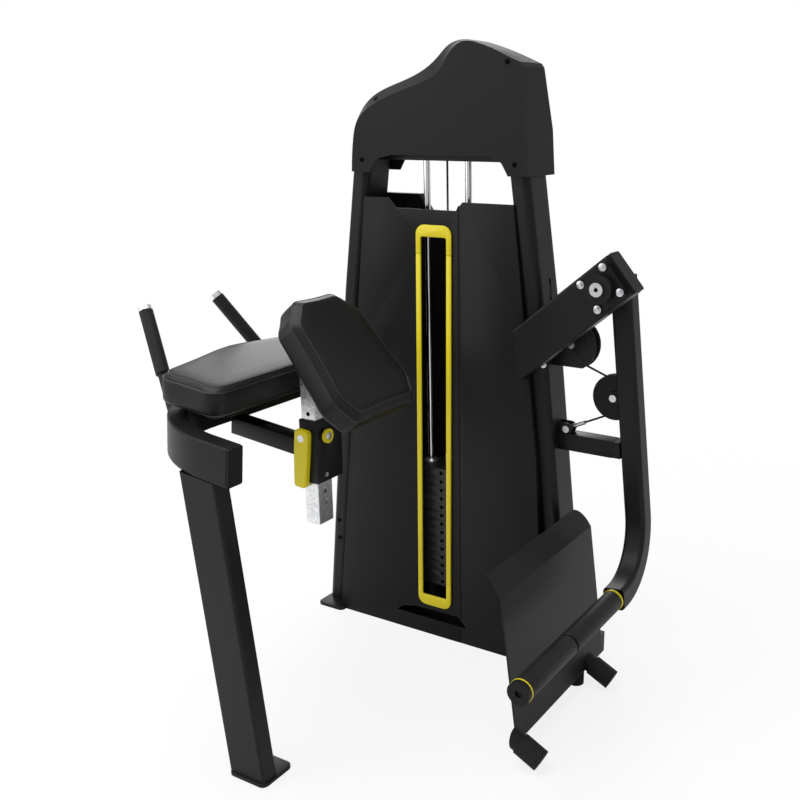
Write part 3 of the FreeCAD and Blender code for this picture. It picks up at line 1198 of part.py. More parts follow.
def hand_hole():
    """The low opening over the floor rail, across both front panels."""
    run = n.hand_run
    points = [(n.hand_left, n.hand_low), (n.hand_right, n.hand_low), (n.hand_right - run, n.hand_high),
              (n.hand_left + 2 * run, n.hand_high - run / 10), (n.hand_left + run / 2, n.hand_low + run / 2)]
    hole = Part.Face(Part.makePolygon(flat(points + points[:1]))).extrude(Y_AXIS * 2 * n.shroud_back)
    return shift(hole, 0, -n.shroud_back / 2, 0)


def front_shroud():
    dip0, dip1, run = n.dip_left, n.dip_right, n.dip_run
    left_low, left_top = -n.shroud_foot_half, -n.shroud_top_half
    low, top = n.shroud_low, n.shroud_top
    foot_in = n.upright_foot - n.foot_shift - n.foot_wide / 2 - n.side_gap
    points = [(left_low, n.foot_step), (-foot_in, n.foot_step), (-foot_in, low), (seam_x(low), low),
              (seam_x(top), top - run / 2), (dip1, n.shroud_dip), (dip0, n.shroud_dip),
              (dip0 - run, top), (left_top, top)]
    shell = slanted(points, 0, n.shroud_back)
    hollow = slanted(inset(points, n.shroud_wall), n.shroud_wall, n.shroud_back + n.overrun)
    slot = shift(Part.Face(round_outline(flat([(-n.slot_half, n.slot_bottom), (n.slot_half, n.slot_bottom),
                                               (n.slot_half, n.slot_top), (-n.slot_half, n.slot_top)]),
                                         [n.slot_corner] * 4)).extrude(Y_AXIS * 2 * n.shroud_back),
                 0, -n.shroud_back / 2, 0)
    side, tall = n.arc_deep / 2 + n.soft_gap, n.arc_tall / 2 + n.soft_gap
    tube_way = block(-side, side, 2 * n.post_front, 2 * n.upright_front, -tall, tall)
    tube_way = tube_way.transformed(SEAT_TURN.toMatrix())
    made("front_shroud", shell.cut([hollow, slot, hand_hole(), tube_way]))

    gap = n.seam_gap
    points = [(seam_x(low) + gap, low), (foot_in, low), (foot_in, n.foot_step),
              (n.wing_foot_x, n.foot_step), (n.wing_waist_x, n.wing_waist),
              (n.wing_top_x, n.wing_top), (seam_x(top) + run / 2, n.wing_top),
              (seam_x(top) + gap, n.wing_top - run / 2)]
    back = n.upright_front - n.soft_gap
    shell = slanted(points, 0, back)
    hollow = slanted(inset(points, n.shroud_wall), n.shroud_wall, back + n.overrun)
    beam = block(-n.beam_tall * 4, 2 * n.beam_past, BEAM_FRONT - n.overrun, n.upright_front,
                 -n.beam_tall / 2 - n.soft_gap, n.beam_tall / 2 + n.soft_gap)
    clear = beam.transformed(BEAM_TURN.toMatrix()).cut(beam_end(n.soft_gap))
    made("shroud_wing", shell.cut([hollow, clear, hand_hole()]))


def slot_frame():
    edge, proud = n.frame_edge, n.frame_proud
    half = n.slot_half
    low_edge, high_edge = n.slot_bottom - n.frame_cap, n.slot_top + n.frame_cap
    outer = round_outline(flat([(-half - edge, low_edge), (half + edge, low_edge),
                                (half + edge, high_edge), (-half - edge, high_edge)]),
                          [n.frame_corner] * 4)
    inner = round_outline(flat([(-half, n.slot_bottom), (half, n.slot_bottom), (half, n.slot_top),
                                (-half, n.slot_top)]), [n.slot_corner] * 4)
    ring = Part.Face(outer).cut(Part.Face(inner)).extrude(Y_AXIS * 2 * n.shroud_back)
    ring = shift(ring, 0, -n.shroud_back, 0)
    wide = half + edge + n.overrun
    rise = n.shroud_top - n.shroud_low
    run = n.shroud_top_front
    low, high = n.shroud_low - rise, n.shroud_top + rise
    skin = n.weld_gap
    keep = [Vector(0, -proud - run, low), Vector(0, -proud + 2 * run, high), Vector(0, 2 * run - skin, high),
            Vector(0, -run - skin, low)]
    slab = shift(Part.Face(Part.makePolygon(keep + keep[:1])).extrude(X_AXIS * 2 * wide), -wide, 0, 0)
    ring = ring.common(slab)
    middle = block(-wide, wide, -n.shroud_back, n.shroud_back, n.slot_bottom + n.frame_join,
                   n.slot_top - n.frame_join)
    sides = ring.common(middle)
    gap_low = block(-wide, wide, -n.shroud_back, n.shroud_back, n.slot_bottom + n.frame_join - n.soft_gap,
                    n.slot_top - n.frame_join + n.soft_gap)
    ends = ring.cut(gap_low)
    made("slot_frame", Part.makeCompound(sides.Solids + ends.Solids))


def rear_shroud():
    low, top = n.rear_low, n.rear_top
    knee = n.knee_height
    dip = n.rear_dip
    points = [(upright_centre(low), low), (upright_centre(knee), knee), (upright_centre(dip), dip),
              (n.rear_shoulder + n.rear_run, dip), (n.rear_shoulder, top), (-upright_centre(top), top),
              (-upright_centre(knee), knee), (-upright_centre(low), low)]
    front = n.upright_front + n.upright_depth + n.soft_gap
    outer = Part.Face(Part.makePolygon(flat(points + points[:1]))).extrude(Y_AXIS * n.rear_deep)
    inner_points = inset(points, n.shroud_wall)
    inner = Part.Face(Part.makePolygon(flat(inner_points + inner_points[:1]))).extrude(
        Y_AXIS * n.rear_deep)
    made("rear_shroud", shift(outer.cut(shift(inner, 0, -n.shroud_wall, 0)), 0, front, 0))


# The cover's two outlines over its top, from the left foot to the right corner, as shares of its half width
# and of its height. The front face is drawn in along a soft crease that climbs from the left to the crown.
COVER_FACE = [(-0.909, 0), (-0.881, 0.251), (-0.813, 0.423), (-0.631, 0.533), (-0.31, 0.636), (-0.036, 0.708),
              (0.083, 0.763), (0.179, 0.873), (0.321, 0.976), (0.524, 0.959), (0.722, 0.893), (0.925, 0.818)]
COVER_RIM = [(-1, 0), (-0.973, 0.247), (-0.9, 0.433), (-0.76, 0.572), (-0.45, 0.69), (-0.115, 0.804),
             (0.02, 0.89), (0.11, 0.958), (0.246, 1), (0.5, 0.966), (0.722, 0.897), (0.925, 0.821)]
COVER_CORNER = (0.948, 0.79)
COVER_RIGHT_FOOT = (1.004, 0)


def cover_wire(shares, y, wall):
    """A closed outline at a depth, drawn in by a wall and left open downwards where there is one."""
    half, tall = n.cover_half - wall, n.cover_tall - wall
    low = n.cover_low - 2 * wall
    upper = [Vector(x * half, y, n.cover_low + z * tall) for x, z in shares]
    spline = Part.BSplineCurve()
    spline.interpolate(upper)
    corner = Vector(COVER_CORNER[0] * half, y, n.cover_low + COVER_CORNER[1] * tall)
    right = Vector(COVER_RIGHT_FOOT[0] * half, y, n.cover_low)
    points = [upper[-1], corner, right]
    if wall:
        points += [Vector(right.x, y, low), Vector(upper[0].x, y, low)]
    points.append(upper[0])
    return Part.Wire([spline.toShape()] + [Part.makeLine(a, b) for a, b in zip(points, points[1:])])


def cover_solid(wall):
    """The sloped front between the two outlines, and the straight sides behind the rim."""
    front, rim = n.cover_front + wall, n.cover_rim + wall / 2
    face = cover_wire(COVER_FACE, front, wall)
    edge = cover_wire(COVER_RIM, rim, wall)
    slope = Part.makeLoft([face, edge], True, True)
    sides = Part.Face(edge).extrude(Y_AXIS * (n.cover_back - rim))
    crown = n.cover_low + n.cover_tall + n.overrun
    low = n.cover_low - 2 * n.arch_tall
    back, waist = n.cover_back - wall, n.cover_waist
    profile = [Vector(0, 0, low), Vector(0, back, low), Vector(0, back, waist),
               Vector(0, n.cover_crown - wall, crown), Vector(0, 0, crown)]
    profile = Part.Face(Part.makePolygon(profile + profile[:1])).extrude(X_AXIS * 4 * n.cover_half)
    return slope.fuse(sides).common(shift(profile, -2 * n.cover_half, 0, 0))


def top_cover():
    low, high, run = n.cover_low, n.cover_low + n.arch_tall, n.arch_run
    left, right = -n.arch_left, n.arch_right
    corners = [(right, low - n.overrun), (right - run, high - run / 2), (right - 2.5 * run, high),
               (left + 3 * run, high), (left + run, high - run / 2), (left, low - n.overrun)]
    soft = n.arch_round
    arch = Part.Face(round_outline(flat(corners), [0, soft, soft, soft, soft, 0]))
    arch = arch.extrude(Y_AXIS * 2 * n.cover_back)
    shell = cover_solid(0).cut([cover_solid(n.cover_wall), arch])
    reach = 2 * n.upright_foot
    behind = block(-reach, reach, n.cover_split, n.cover_back + n.overrun, 0, 2 * n.upright_top)
    ahead = block(-reach, reach, 0, n.cover_split + n.weld_gap, 0, 2 * n.upright_top)
    made("top_cover_front", shell.cut(behind))
    made("top_cover_rear", shell.cut(ahead))


BUILDERS = [uprights, foot_plates, crossmembers, weight_stack, top_pulleys, redirect_pulley, cable_terminal,
            cables, box_beam, pivot, swing_arm, leg_roller, stop_strut, side_base, kick_plate, left_frame,
            link_and_sleeve, slide_post, lever, chest_pad, elbow_pad, handles, front_shroud, slot_frame,
            rear_shroud, top_cover]
for build in BUILDERS:
    build()
doc.recompute()

faults = [item.Label for item in doc.Objects if set(item.State) & {"Invalid", "Error"}]
for item in PARTS:
    if item.Shape.isNull() or not item.Shape.isValid():
        faults.append(item.Label)
if faults:
    raise RuntimeError("These objects failed: " + ", ".join(faults))

os.makedirs("parts", exist_ok=True)
for item in PARTS:
    item.Shape.exportStep(f"parts/{item.Label}.step")
print(len(PARTS), "parts,", sum(len(item.Shape.Solids) for item in PARTS), "solids")
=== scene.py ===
# %% [markdown]
# # Glute isolator machine
#
# A plate-stack gym machine, dressed for a studio photograph. The steel tubes, pulleys and shells come from
# the construction model as they are. This script gives each of them its finish, rounds the edges that a
# press or a mould would round, and models the soft and small pieces: two vinyl pads, the board and rails
# under one of them, foam rollers, two cable runs, bolt heads and screws.

# %% Load the construction model
import json
import math

import bpy
from mathutils import Matrix, Vector


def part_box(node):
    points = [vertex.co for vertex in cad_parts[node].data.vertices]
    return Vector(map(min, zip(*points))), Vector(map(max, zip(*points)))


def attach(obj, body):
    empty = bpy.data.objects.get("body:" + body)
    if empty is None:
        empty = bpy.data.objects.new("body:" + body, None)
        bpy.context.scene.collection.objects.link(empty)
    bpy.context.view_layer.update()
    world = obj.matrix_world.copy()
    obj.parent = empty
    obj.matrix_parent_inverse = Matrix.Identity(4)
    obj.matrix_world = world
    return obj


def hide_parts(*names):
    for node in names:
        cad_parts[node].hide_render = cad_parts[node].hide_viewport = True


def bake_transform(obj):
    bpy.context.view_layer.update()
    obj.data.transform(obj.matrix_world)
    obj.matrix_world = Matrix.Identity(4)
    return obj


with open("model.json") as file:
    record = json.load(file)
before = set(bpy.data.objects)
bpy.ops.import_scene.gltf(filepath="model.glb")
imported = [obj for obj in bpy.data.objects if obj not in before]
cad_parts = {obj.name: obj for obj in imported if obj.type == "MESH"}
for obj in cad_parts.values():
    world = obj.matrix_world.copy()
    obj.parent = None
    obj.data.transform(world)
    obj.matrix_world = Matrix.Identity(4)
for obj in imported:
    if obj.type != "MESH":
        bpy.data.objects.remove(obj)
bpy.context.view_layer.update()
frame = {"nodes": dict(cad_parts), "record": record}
nodes = frame["nodes"]
MM = 0.001
print("construction model:", len(nodes), "nodes")

# %% [markdown]
# ## Shader maths as plain expressions
#
# A finish is easier to read as `0.4 + 0.1 * grain` than as a list of Math nodes. So one small class wraps a
# node's socket and turns plus and times into Math nodes, and a second class makes any other node.

# %% A socket that can be added and scaled


class Wire:
    """An output socket, with Python's operators."""

    def __init__(self, finish, socket):
        self.finish = finish
        self.socket = socket

    def maths(self, operation, a, b):
        return self.finish.node("ShaderNodeMath", {"operation": operation}, {0: a, 1: b})

    def __add__(self, other):
        return self.maths("ADD", self, other)

    def __radd__(self, other):
        return self.maths("ADD", other, self)

    def __mul__(self, other):
        return self.maths("MULTIPLY", self, other)

    def __rmul__(self, other):
        return self.maths("MULTIPLY", other, self)

# %% A material with a method for each kind of node
NOISE_ROUGHNESS = 0.55


class Finish:
    """A node material under construction."""

    def __init__(self, name):
        self.material = bpy.data.materials.new(name)
        self.material.use_nodes = True
        self.tree = self.material.node_tree
        self.shader = self.tree.nodes["Principled BSDF"]

    def node(self, kind, settings=None, inputs=None, output=0):
        made = self.tree.nodes.new(kind)
        for key, value in (settings or {}).items():
            setattr(made, key, value)
        for key, value in (inputs or {}).items():
            self.feed(made.inputs[key], value)
        return Wire(self, made.outputs[output])

    def feed(self, socket, value):
        if isinstance(value, Wire):
            self.tree.links.new(value.socket, socket)
        else:
            socket.default_value = value

    def set(self, **values):
        for key, value in values.items():
            self.feed(self.shader.inputs[key.replace("_", " ").title().replace("Ior", "IOR")], value)

    def place(self, scale=(1, 1, 1)):
        spot = self.node("ShaderNodeTexCoord", output="Object")
        return self.node("ShaderNodeMapping", None, {"Vector": spot, "Scale": scale})

    def noise(self, scale, detail, spot=None):
        spot = spot or self.place()
        wires = {"Vector": spot, "Scale": scale, "Detail": detail, "Roughness": NOISE_ROUGHNESS}
        return self.node("ShaderNodeTexNoise", None, wires)

    def cells(self, scale, feature="F1", output="Distance", randomness=1.0):
        wires = {"Vector": self.place(), "Scale": scale, "Randomness": randomness}
        return self.node("ShaderNodeTexVoronoi", {"feature": feature}, wires, output=output)

    def shades(self, factor, dark, light, low=0.3, high=0.7):
        """A colour that goes from dark to light as a factor goes from low to high."""
        made = self.node("ShaderNodeValToRGB", None, {"Fac": factor})
        stops = made.socket.node.color_ramp.elements
        for stop, place, colour in zip(stops, (low, high), (dark, light)):
            stop.position = place
            stop.color = (*colour, 1.0)
        return made

    def bump(self, height, strength, distance):
        wires = {"Height": height, "Strength": strength, "Distance": distance}
        return self.node("ShaderNodeBump", None, wires)


# %% [markdown]
# ## Powder-coated steel
#
# The tubes are sprayed with charcoal powder that flows into a fine orange-peel skin. A slow noise varies
# the colour a little, a fine one makes the skin, and the sheen comes from a roughness between satin and
# matte.

# %% Powder coat


def powder_coat():
    finish = Finish("powder_coat")
    cloud = finish.noise(3.0, 4.0)
    peel = finish.noise(900.0, 2.0)
    colour = finish.shades(cloud, (0.0062, 0.0063, 0.0067), (0.0088, 0.0089, 0.0094))
    finish.set(base_color=colour, roughness=0.34 + 0.1 * peel, normal=finish.bump(peel, 0.22, 0.0003))
    finish.set(specular_ior_level=0.19)
    return finish.material


POWDER_COAT = powder_coat()
print("finish:", POWDER_COAT.name)

# %% [markdown]
# ## Moulded charcoal plastic
#
# The shrouds and the cover are formed from grained sheet. The grain is a field of small rounded cells,
# finer than a millimetre, and the surface is a shade darker and less glossy than the steel.

# %% Moulded plastic


def moulded_plastic():
    finish = Finish("moulded_plastic")
    cloud = finish.noise(2.2, 3.0)
    grain = finish.cells(850.0, "SMOOTH_F1")
    colour = finish.shades(cloud, (0.0060, 0.0061, 0.0065), (0.0080, 0.0081, 0.0086))
    finish.set(base_color=colour, roughness=0.42 + 0.12 * grain, normal=finish.bump(grain, 0.18, 0.0003))
    finish.set(specular_ior_level=0.16)
    return finish.material


MOULDED_PLASTIC = moulded_plastic()
print("finish:", MOULDED_PLASTIC.name)

# %% [markdown]
# ## Yellow plastic
#
# The window frame, the lever and the rings are injection-moulded in one yellow, smooth and a little glossy.
# A faint noise keeps the gloss from being perfect.

# %% Yellow plastic


def yellow_plastic():
    finish = Finish("yellow_plastic")
    cloud = finish.noise(6.0, 2.0)
    fine = finish.noise(260.0, 2.0)
    colour = finish.shades(cloud, (0.66, 0.54, 0.008), (0.72, 0.60, 0.011))
    finish.set(base_color=colour, roughness=0.3 + 0.1 * fine, normal=finish.bump(fine, 0.08, 0.0003))
    finish.set(specular_ior_level=0.35)
    return finish.material


YELLOW_PLASTIC = yellow_plastic()
print("finish:", YELLOW_PLASTIC.name)

# %% [markdown]
# ## Bare metals
#
# Three metals differ in their skin: the guide rods are polished chrome, bolts and axles are zinc-plated
# with faint turning marks, and the slide post is hot-dip galvanised, which grows flat crystals called
# spangle.

# %% Chrome, zinc plate and galvanised steel


def chrome():
    finish = Finish("chrome")
    smear = finish.noise(40.0, 3.0)
    colour = finish.shades(smear, (0.72, 0.73, 0.75), (0.80, 0.81, 0.82))
    finish.set(base_color=colour, metallic=1.0, roughness=0.08 + 0.1 * smear)
    return finish.material


def zinc_plate():
    finish = Finish("zinc_plate")
    turned = finish.noise(500.0, 2.0)
    colour = finish.shades(turned, (0.52, 0.53, 0.55), (0.66, 0.67, 0.68))
    finish.set(base_color=colour, metallic=1.0, roughness=0.22 + 0.16 * turned)
    finish.set(normal=finish.bump(turned, 0.12, 0.0002))
    return finish.material


def galvanised():
    finish = Finish("galvanised")
    crystals = finish.cells(170.0, output="Color")
    tone = finish.node("ShaderNodeRGBToBW", None, {"Color": crystals})
    fine = finish.noise(420.0, 3.0)
    colour = finish.shades(tone, (0.60, 0.61, 0.62), (0.82, 0.83, 0.84), 0.15, 0.85)
    finish.set(base_color=colour, metallic=1.0, roughness=0.26 + 0.12 * tone)
    finish.set(normal=finish.bump(0.5 * tone + 0.5 * fine, 0.08, 0.0003))
    return finish.material


CHROME = chrome()
ZINC_PLATE = zinc_plate()
GALVANISED = galvanised()
print("finishes:", CHROME.name, ZINC_PLATE.name, GALVANISED.name)

# %% [markdown]
# ## Rubber, foam skin and iron
#
# Rubber feet and grips are dull and slightly dusty, and the grips have a raised pattern. The foam rollers
# have a closed skin with a soft sheen and tiny pores. The plates are cast iron under black paint, which
# leaves a coarser, uneven skin. The small screws are blackened steel.

# %% Rubber


def rubber():
    finish = Finish("rubber")
    dust = finish.noise(25.0, 4.0)
    fine = finish.noise(700.0, 2.0)
    colour = finish.shades(dust, (0.005, 0.005, 0.0052), (0.009, 0.009, 0.0093), 0.35, 0.75)
    finish.set(base_color=colour, roughness=0.55 + 0.15 * fine, normal=finish.bump(fine, 0.25, 0.0004))
    finish.set(specular_ior_level=0.25)
    return finish.material


def grip_rubber():
    finish = Finish("grip_rubber")
    knurl = finish.cells(420.0, randomness=0.25)
    colour = finish.shades(knurl, (0.005, 0.005, 0.0052), (0.009, 0.009, 0.0093), 0.1, 0.7)
    finish.set(base_color=colour, roughness=0.5 + 0.2 * knurl, normal=finish.bump(knurl, 0.5, 0.0006))
    finish.set(specular_ior_level=0.25)
    return finish.material

RUBBER = rubber()
GRIP_RUBBER = grip_rubber()
print("finishes:", RUBBER.name, GRIP_RUBBER.name)

# %% Foam skin, painted iron and blackened screws


def foam_skin():
    finish = Finish("foam_skin")
    pores = finish.cells(1100.0)
    cloud = finish.noise(14.0, 3.0)
    colour = finish.shades(cloud, (0.007, 0.007, 0.0073), (0.010, 0.010, 0.0103))
    finish.set(base_color=colour, roughness=0.44 + 0.14 * pores, normal=finish.bump(pores, 0.2, 0.0004))
    finish.set(specular_ior_level=0.24)
    return finish.material


def painted_iron():
    finish = Finish("painted_iron")
    cast = finish.noise(180.0, 5.0)
    colour = finish.shades(cast, (0.010, 0.010, 0.0104), (0.015, 0.015, 0.0154))
    finish.set(base_color=colour, roughness=0.42 + 0.2 * cast, normal=finish.bump(cast, 0.35, 0.0006))
    return finish.material


def blackened_screw():
    finish = Finish("blackened_screw")
    oil = finish.noise(300.0, 2.0)
    colour = finish.shades(oil, (0.0012, 0.0012, 0.0013), (0.0022, 0.0022, 0.0023))
    finish.set(base_color=colour, roughness=0.6 + 0.2 * oil, normal=finish.bump(oil, 0.1, 0.0002))
    finish.set(specular_ior_level=0.05)
    return finish.material


FOAM_SKIN = foam_skin()
PAINTED_IRON = painted_iron()
SCREW_BLACK = blackened_screw()
print("finishes:", FOAM_SKIN.name, PAINTED_IRON.name, SCREW_BLACK.name)

# %% [markdown]
# ## Vinyl
#
# The pads wear black upholstery vinyl. Its grain is two sizes of rounded cells pressed into each other. It
# is smooth enough to show the lamp above as a broad highlight, which makes the upper pad look grey. The
# welts are painted a little lighter than the cover, as a painted highlight along the seams.

# %% Upholstery vinyl


def vinyl():
    finish = Finish("vinyl")
    wide = finish.cells(330.0, "SMOOTH_F1")
    fine = finish.cells(780.0, "SMOOTH_F1")
    cloud = finish.noise(5.0, 3.0)
    grain = 0.6 * wide + 0.4 * fine
    colour = finish.shades(cloud, (0.0050, 0.0050, 0.0053), (0.0070, 0.0070, 0.0073))
    finish.set(base_color=colour, roughness=0.36 + 0.1 * wide, normal=finish.bump(grain, 0.3, 0.0004))
    finish.set(specular_ior_level=0.24)
    return finish.material


# The welt's vinyl is a shade lighter than the cover's: a painted highlight along the seams.
def welt_vinyl_painted_highlight():
    finish = Finish("welt_vinyl_painted_highlight")
    fine = finish.noise(500.0, 2.0)
    colour = finish.shades(fine, (0.010, 0.010, 0.0105), (0.016, 0.016, 0.0165))
    finish.set(base_color=colour, roughness=0.3 + 0.1 * fine, normal=finish.bump(fine, 0.2, 0.0003))
    return finish.material


VINYL = vinyl()
WELT_PAINTED_HIGHLIGHT = welt_vinyl_painted_highlight()
print("finishes:", VINYL.name, WELT_PAINTED_HIGHLIGHT.name)

# %% [markdown]
# ## Cable jacket, board and satin aluminium
#
# The cable is wire rope under a thin black jacket, the pads are stapled to painted board, and the handles
# end in turned aluminium.

# %% Jacket, board and aluminium


def cable_jacket():
    finish = Finish("cable_jacket")
    fine = finish.noise(600.0, 2.0)
    colour = finish.shades(fine, (0.010, 0.010, 0.0105), (0.016, 0.016, 0.0165))
    finish.set(base_color=colour, roughness=0.35 + 0.1 * fine, normal=finish.bump(fine, 0.15, 0.0002))
    return finish.material


def painted_board():
    finish = Finish("painted_board")
    grain = finish.noise(60.0, 6.0, spot=finish.place((1, 14, 1)))
    colour = finish.shades(grain, (0.010, 0.010, 0.010), (0.017, 0.0165, 0.016))
    finish.set(base_color=colour, roughness=0.6 + 0.2 * grain, normal=finish.bump(grain, 0.3, 0.0004))
    return finish.material


def satin_aluminium():
    finish = Finish("satin_aluminium")
    turned = finish.noise(300.0, 2.0)
    colour = finish.shades(turned, (0.80, 0.80, 0.81), (0.88, 0.88, 0.89))
    finish.set(base_color=colour, metallic=0.9, roughness=0.28 + 0.14 * turned)
    return finish.material


CABLE_JACKET = cable_jacket()
PAINTED_BOARD = painted_board()
SATIN_ALUMINIUM = satin_aluminium()
print("finishes:", CABLE_JACKET.name, PAINTED_BOARD.name, SATIN_ALUMINIUM.name)

# %% [markdown]
# ## Each node's finish
#
# The record names a slot for each node. One table turns slots into finishes, and a few nodes that share a
# slot but look different get their own line.

# %% Paint the carried-over nodes
FINISH_OF_SLOT = {
    "black_steel": POWDER_COAT, "black_plastic": MOULDED_PLASTIC, "yellow_plastic": YELLOW_PLASTIC,
    "chrome_steel": CHROME, "zinc_steel": GALVANISED, "bright_steel": ZINC_PLATE, "black_rubber": RUBBER,
    "pad_vinyl": VINYL, "foam_cover": FOAM_SKIN, "cast_plate": PAINTED_IRON, "cable_jacket": CABLE_JACKET,
    "aluminium_cap": SATIN_ALUMINIUM, "black_board": PAINTED_BOARD,
}
FINISH_OF_NODE = {"handle_grips": GRIP_RUBBER, "selector_stem": ZINC_PLATE, "rod_bushes": SATIN_ALUMINIUM}
SLOT_OF_NODE = {entry["node"]: entry["material_slot"] for entry in frame["record"]["subparts"]}
BODY_OF_NODE = {}
for body, members in frame["record"]["behaviour"]["bodies"].items():
    for member in members:
        BODY_OF_NODE[member] = body


def finish_of(node):
    return FINISH_OF_NODE.get(node) or FINISH_OF_SLOT[SLOT_OF_NODE[node]]


for node, shape in nodes.items():
    shape.data.materials.clear()
    shape.data.materials.append(finish_of(node))
print("painted", len(nodes), "nodes")

# %% [markdown]
# ## Working by hand, in code
#
# An operator acts on whatever is selected, so every step starts with nothing selected. These helpers pick
# pieces, go in and out of edit mode, select faces, join pieces and apply modifiers.

# %% Helpers for modelling
FACING = 0.99


def only(piece):
    bpy.ops.object.select_all(action="DESELECT")
    piece.select_set(True)
    bpy.context.view_layer.objects.active = piece


def edit(piece, mode="FACE"):
    """Go into edit mode with nothing selected."""
    only(piece)
    bpy.ops.object.mode_set(mode="EDIT")
    bpy.ops.mesh.select_mode(type=mode)
    bpy.ops.mesh.select_all(action="DESELECT")


def edit_all(piece, mode="FACE"):
    """Go into edit mode with everything selected."""
    edit(piece, mode)
    bpy.ops.mesh.select_all(action="SELECT")


def leave():
    bpy.ops.object.mode_set(mode="OBJECT")


def pick_faces(piece, test):
    """Select the faces whose centre and normal pass a test."""
    leave()
    for face in piece.data.polygons:
        face.select = test(face.center, face.normal)
    bpy.ops.object.mode_set(mode="EDIT")


def looks_up(centre, normal):
    return normal.z > FACING


def joined(pieces):
    """Join pieces into the first of them."""
    only(pieces[0])
    for piece in pieces[1:]:
        piece.select_set(True)
    if len(pieces) > 1:
        bpy.ops.object.join()
    return bpy.context.object


def apply_modifier(piece, kind, **settings):
    only(piece)
    modifier = piece.modifiers.new(kind.title(), kind)
    for key, value in settings.items():
        setattr(modifier, key, value)
    bpy.ops.object.modifier_apply(modifier=modifier.name)


# %% [markdown]
# ## Handing a piece over
#
# A finished piece has its place baked into its mesh, so that its pattern doesn't slide. It gets its finish,
# and it rides on the body that carries it. Faces that meet at less than the angle are shaded as one round
# surface.

# %% Paint a piece and hand it over
SMOOTH_ANGLE = 35.0
ROUND_ANGLE = 50.0


def paint(piece, material, angle):
    only(piece)
    bpy.ops.object.shade_smooth_by_angle(angle=math.radians(angle))
    piece.data.materials.clear()
    piece.data.materials.append(material)


def hand_over(piece, name, body, material, angle=SMOOTH_ANGLE):
    piece.name = name
    piece.data.name = name
    only(piece)
    bpy.ops.object.transform_apply(location=True, rotation=True, scale=True)
    paint(piece, material, angle)
    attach(piece, body)


# %% [markdown]
# ## Rounded edges
#
# Sheet steel and moulded shells never end in a knife edge, and it is the rounded edge that catches the
# light. A copy of each hard-edged node is welded into one mesh, its flat faces are joined, and a narrow
# bevel runs along every sharp edge. The copy then stands for the node.

# %% A welded copy with bevelled edges
WELD = 0.02 * MM
FLAT = math.radians(0.5)
SHARP = math.radians(28.0)


def welded_copy(node):
    """A copy of a node with its loose triangles welded, left in edit mode."""
    piece = nodes[node].copy()
    piece.data = nodes[node].data.copy()
    piece.parent = None
    piece.matrix_world = Matrix.Identity(4)
    bpy.context.collection.objects.link(piece)
    edit_all(piece, "VERT")
    bpy.ops.mesh.remove_doubles(threshold=WELD)
    return piece


def softened(node, width, smooth=SMOOTH_ANGLE):
    piece = welded_copy(node)
    bpy.ops.mesh.dissolve_limited(angle_limit=FLAT)
    leave()
    apply_modifier(piece, "BEVEL", width=width, segments=2, limit_method="ANGLE", angle_limit=SHARP,
                   miter_outer="MITER_ARC")
    hand_over(piece, node + "_finished", BODY_OF_NODE[node], finish_of(node), smooth)
    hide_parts(node)


# %% Soften the hard-edged nodes
# The kick plate's folds are shallow, so only smaller angles than elsewhere are shaded as round.
BEVEL_OF_NODE = {
    "front_shroud": 1.2, "shroud_wing": 1.2, "rear_shroud": 1.2, "slot_frame": 1.4,
    "stop_strut": 1.5, "foot_plates": 1.0, "pulley_guard": 0.6, "post_sleeve": 1.2,
    "weight_plates": 0.7, "head_plate": 0.7, "elbow_pad_rails": 1.0, "pad_plate": 1.0, "link_beam": 1.5,
}
KICK_BEVEL, KICK_SMOOTH = 0.8, 12.0
for node, width in BEVEL_OF_NODE.items():
    softened(node, width * MM)
softened("kick_plate", KICK_BEVEL * MM, KICK_SMOOTH)
print("rounded the edges of", len(BEVEL_OF_NODE) + 1, "nodes")

# %% [markdown]
# ## Upholstered pads
#
# A pad is foam on a board, wrapped in vinyl that is pulled tight underneath. It is drawn as a stack of
# rings on one outline: the corners are rounded, the stretches between them are pulled in a little, and each
# ring has its own height and inset. A cylinder is cut into that many rings, and every ring moves onto its
# outline.

# %% The outline of a pad
ARC_STEPS = 8
SIDE_STEPS = 10
PULL = 1.6 * MM
PULL_SHARE = 0.02


def outline(corners, rounding):
    """Points clockwise round a polygon with rounded corners and slightly drawn-in sides."""
    shares = [step / ARC_STEPS for step in range(ARC_STEPS + 1)]
    arcs = []
    for before, corner, after in zip(corners[-1:] + corners[:-1], corners, corners[1:] + corners[:1]):
        corner = Vector(corner)
        start = corner + (Vector(before) - corner).normalized() * rounding
        end = corner + (Vector(after) - corner).normalized() * rounding
        arcs.append([start * (1 - s) ** 2 + corner * 2 * s * (1 - s) + end * s ** 2 for s in shares])
    points = []
    for arc, following in zip(arcs, arcs[1:] + arcs[:1]):
        points += arc
        run = following[0] - arc[-1]
        inward = Vector((run.y, -run.x)).normalized() * min(PULL, run.length * PULL_SHARE)
        for step in range(1, SIDE_STEPS):
            share = step / SIDE_STEPS
            points.append(arc[-1] + run * share + inward * math.sin(math.pi * share))
    return points


def ring(base, inset, height):
    """The outline at one height, drawn in towards its middle."""
    half_x = max(abs(point.x) for point in base)
    half_y = max(abs(point.y) for point in base)
    return [(point.x * (1 - inset / half_x), point.y * (1 - inset / half_y), height) for point in base]


# %% A closed form of rings


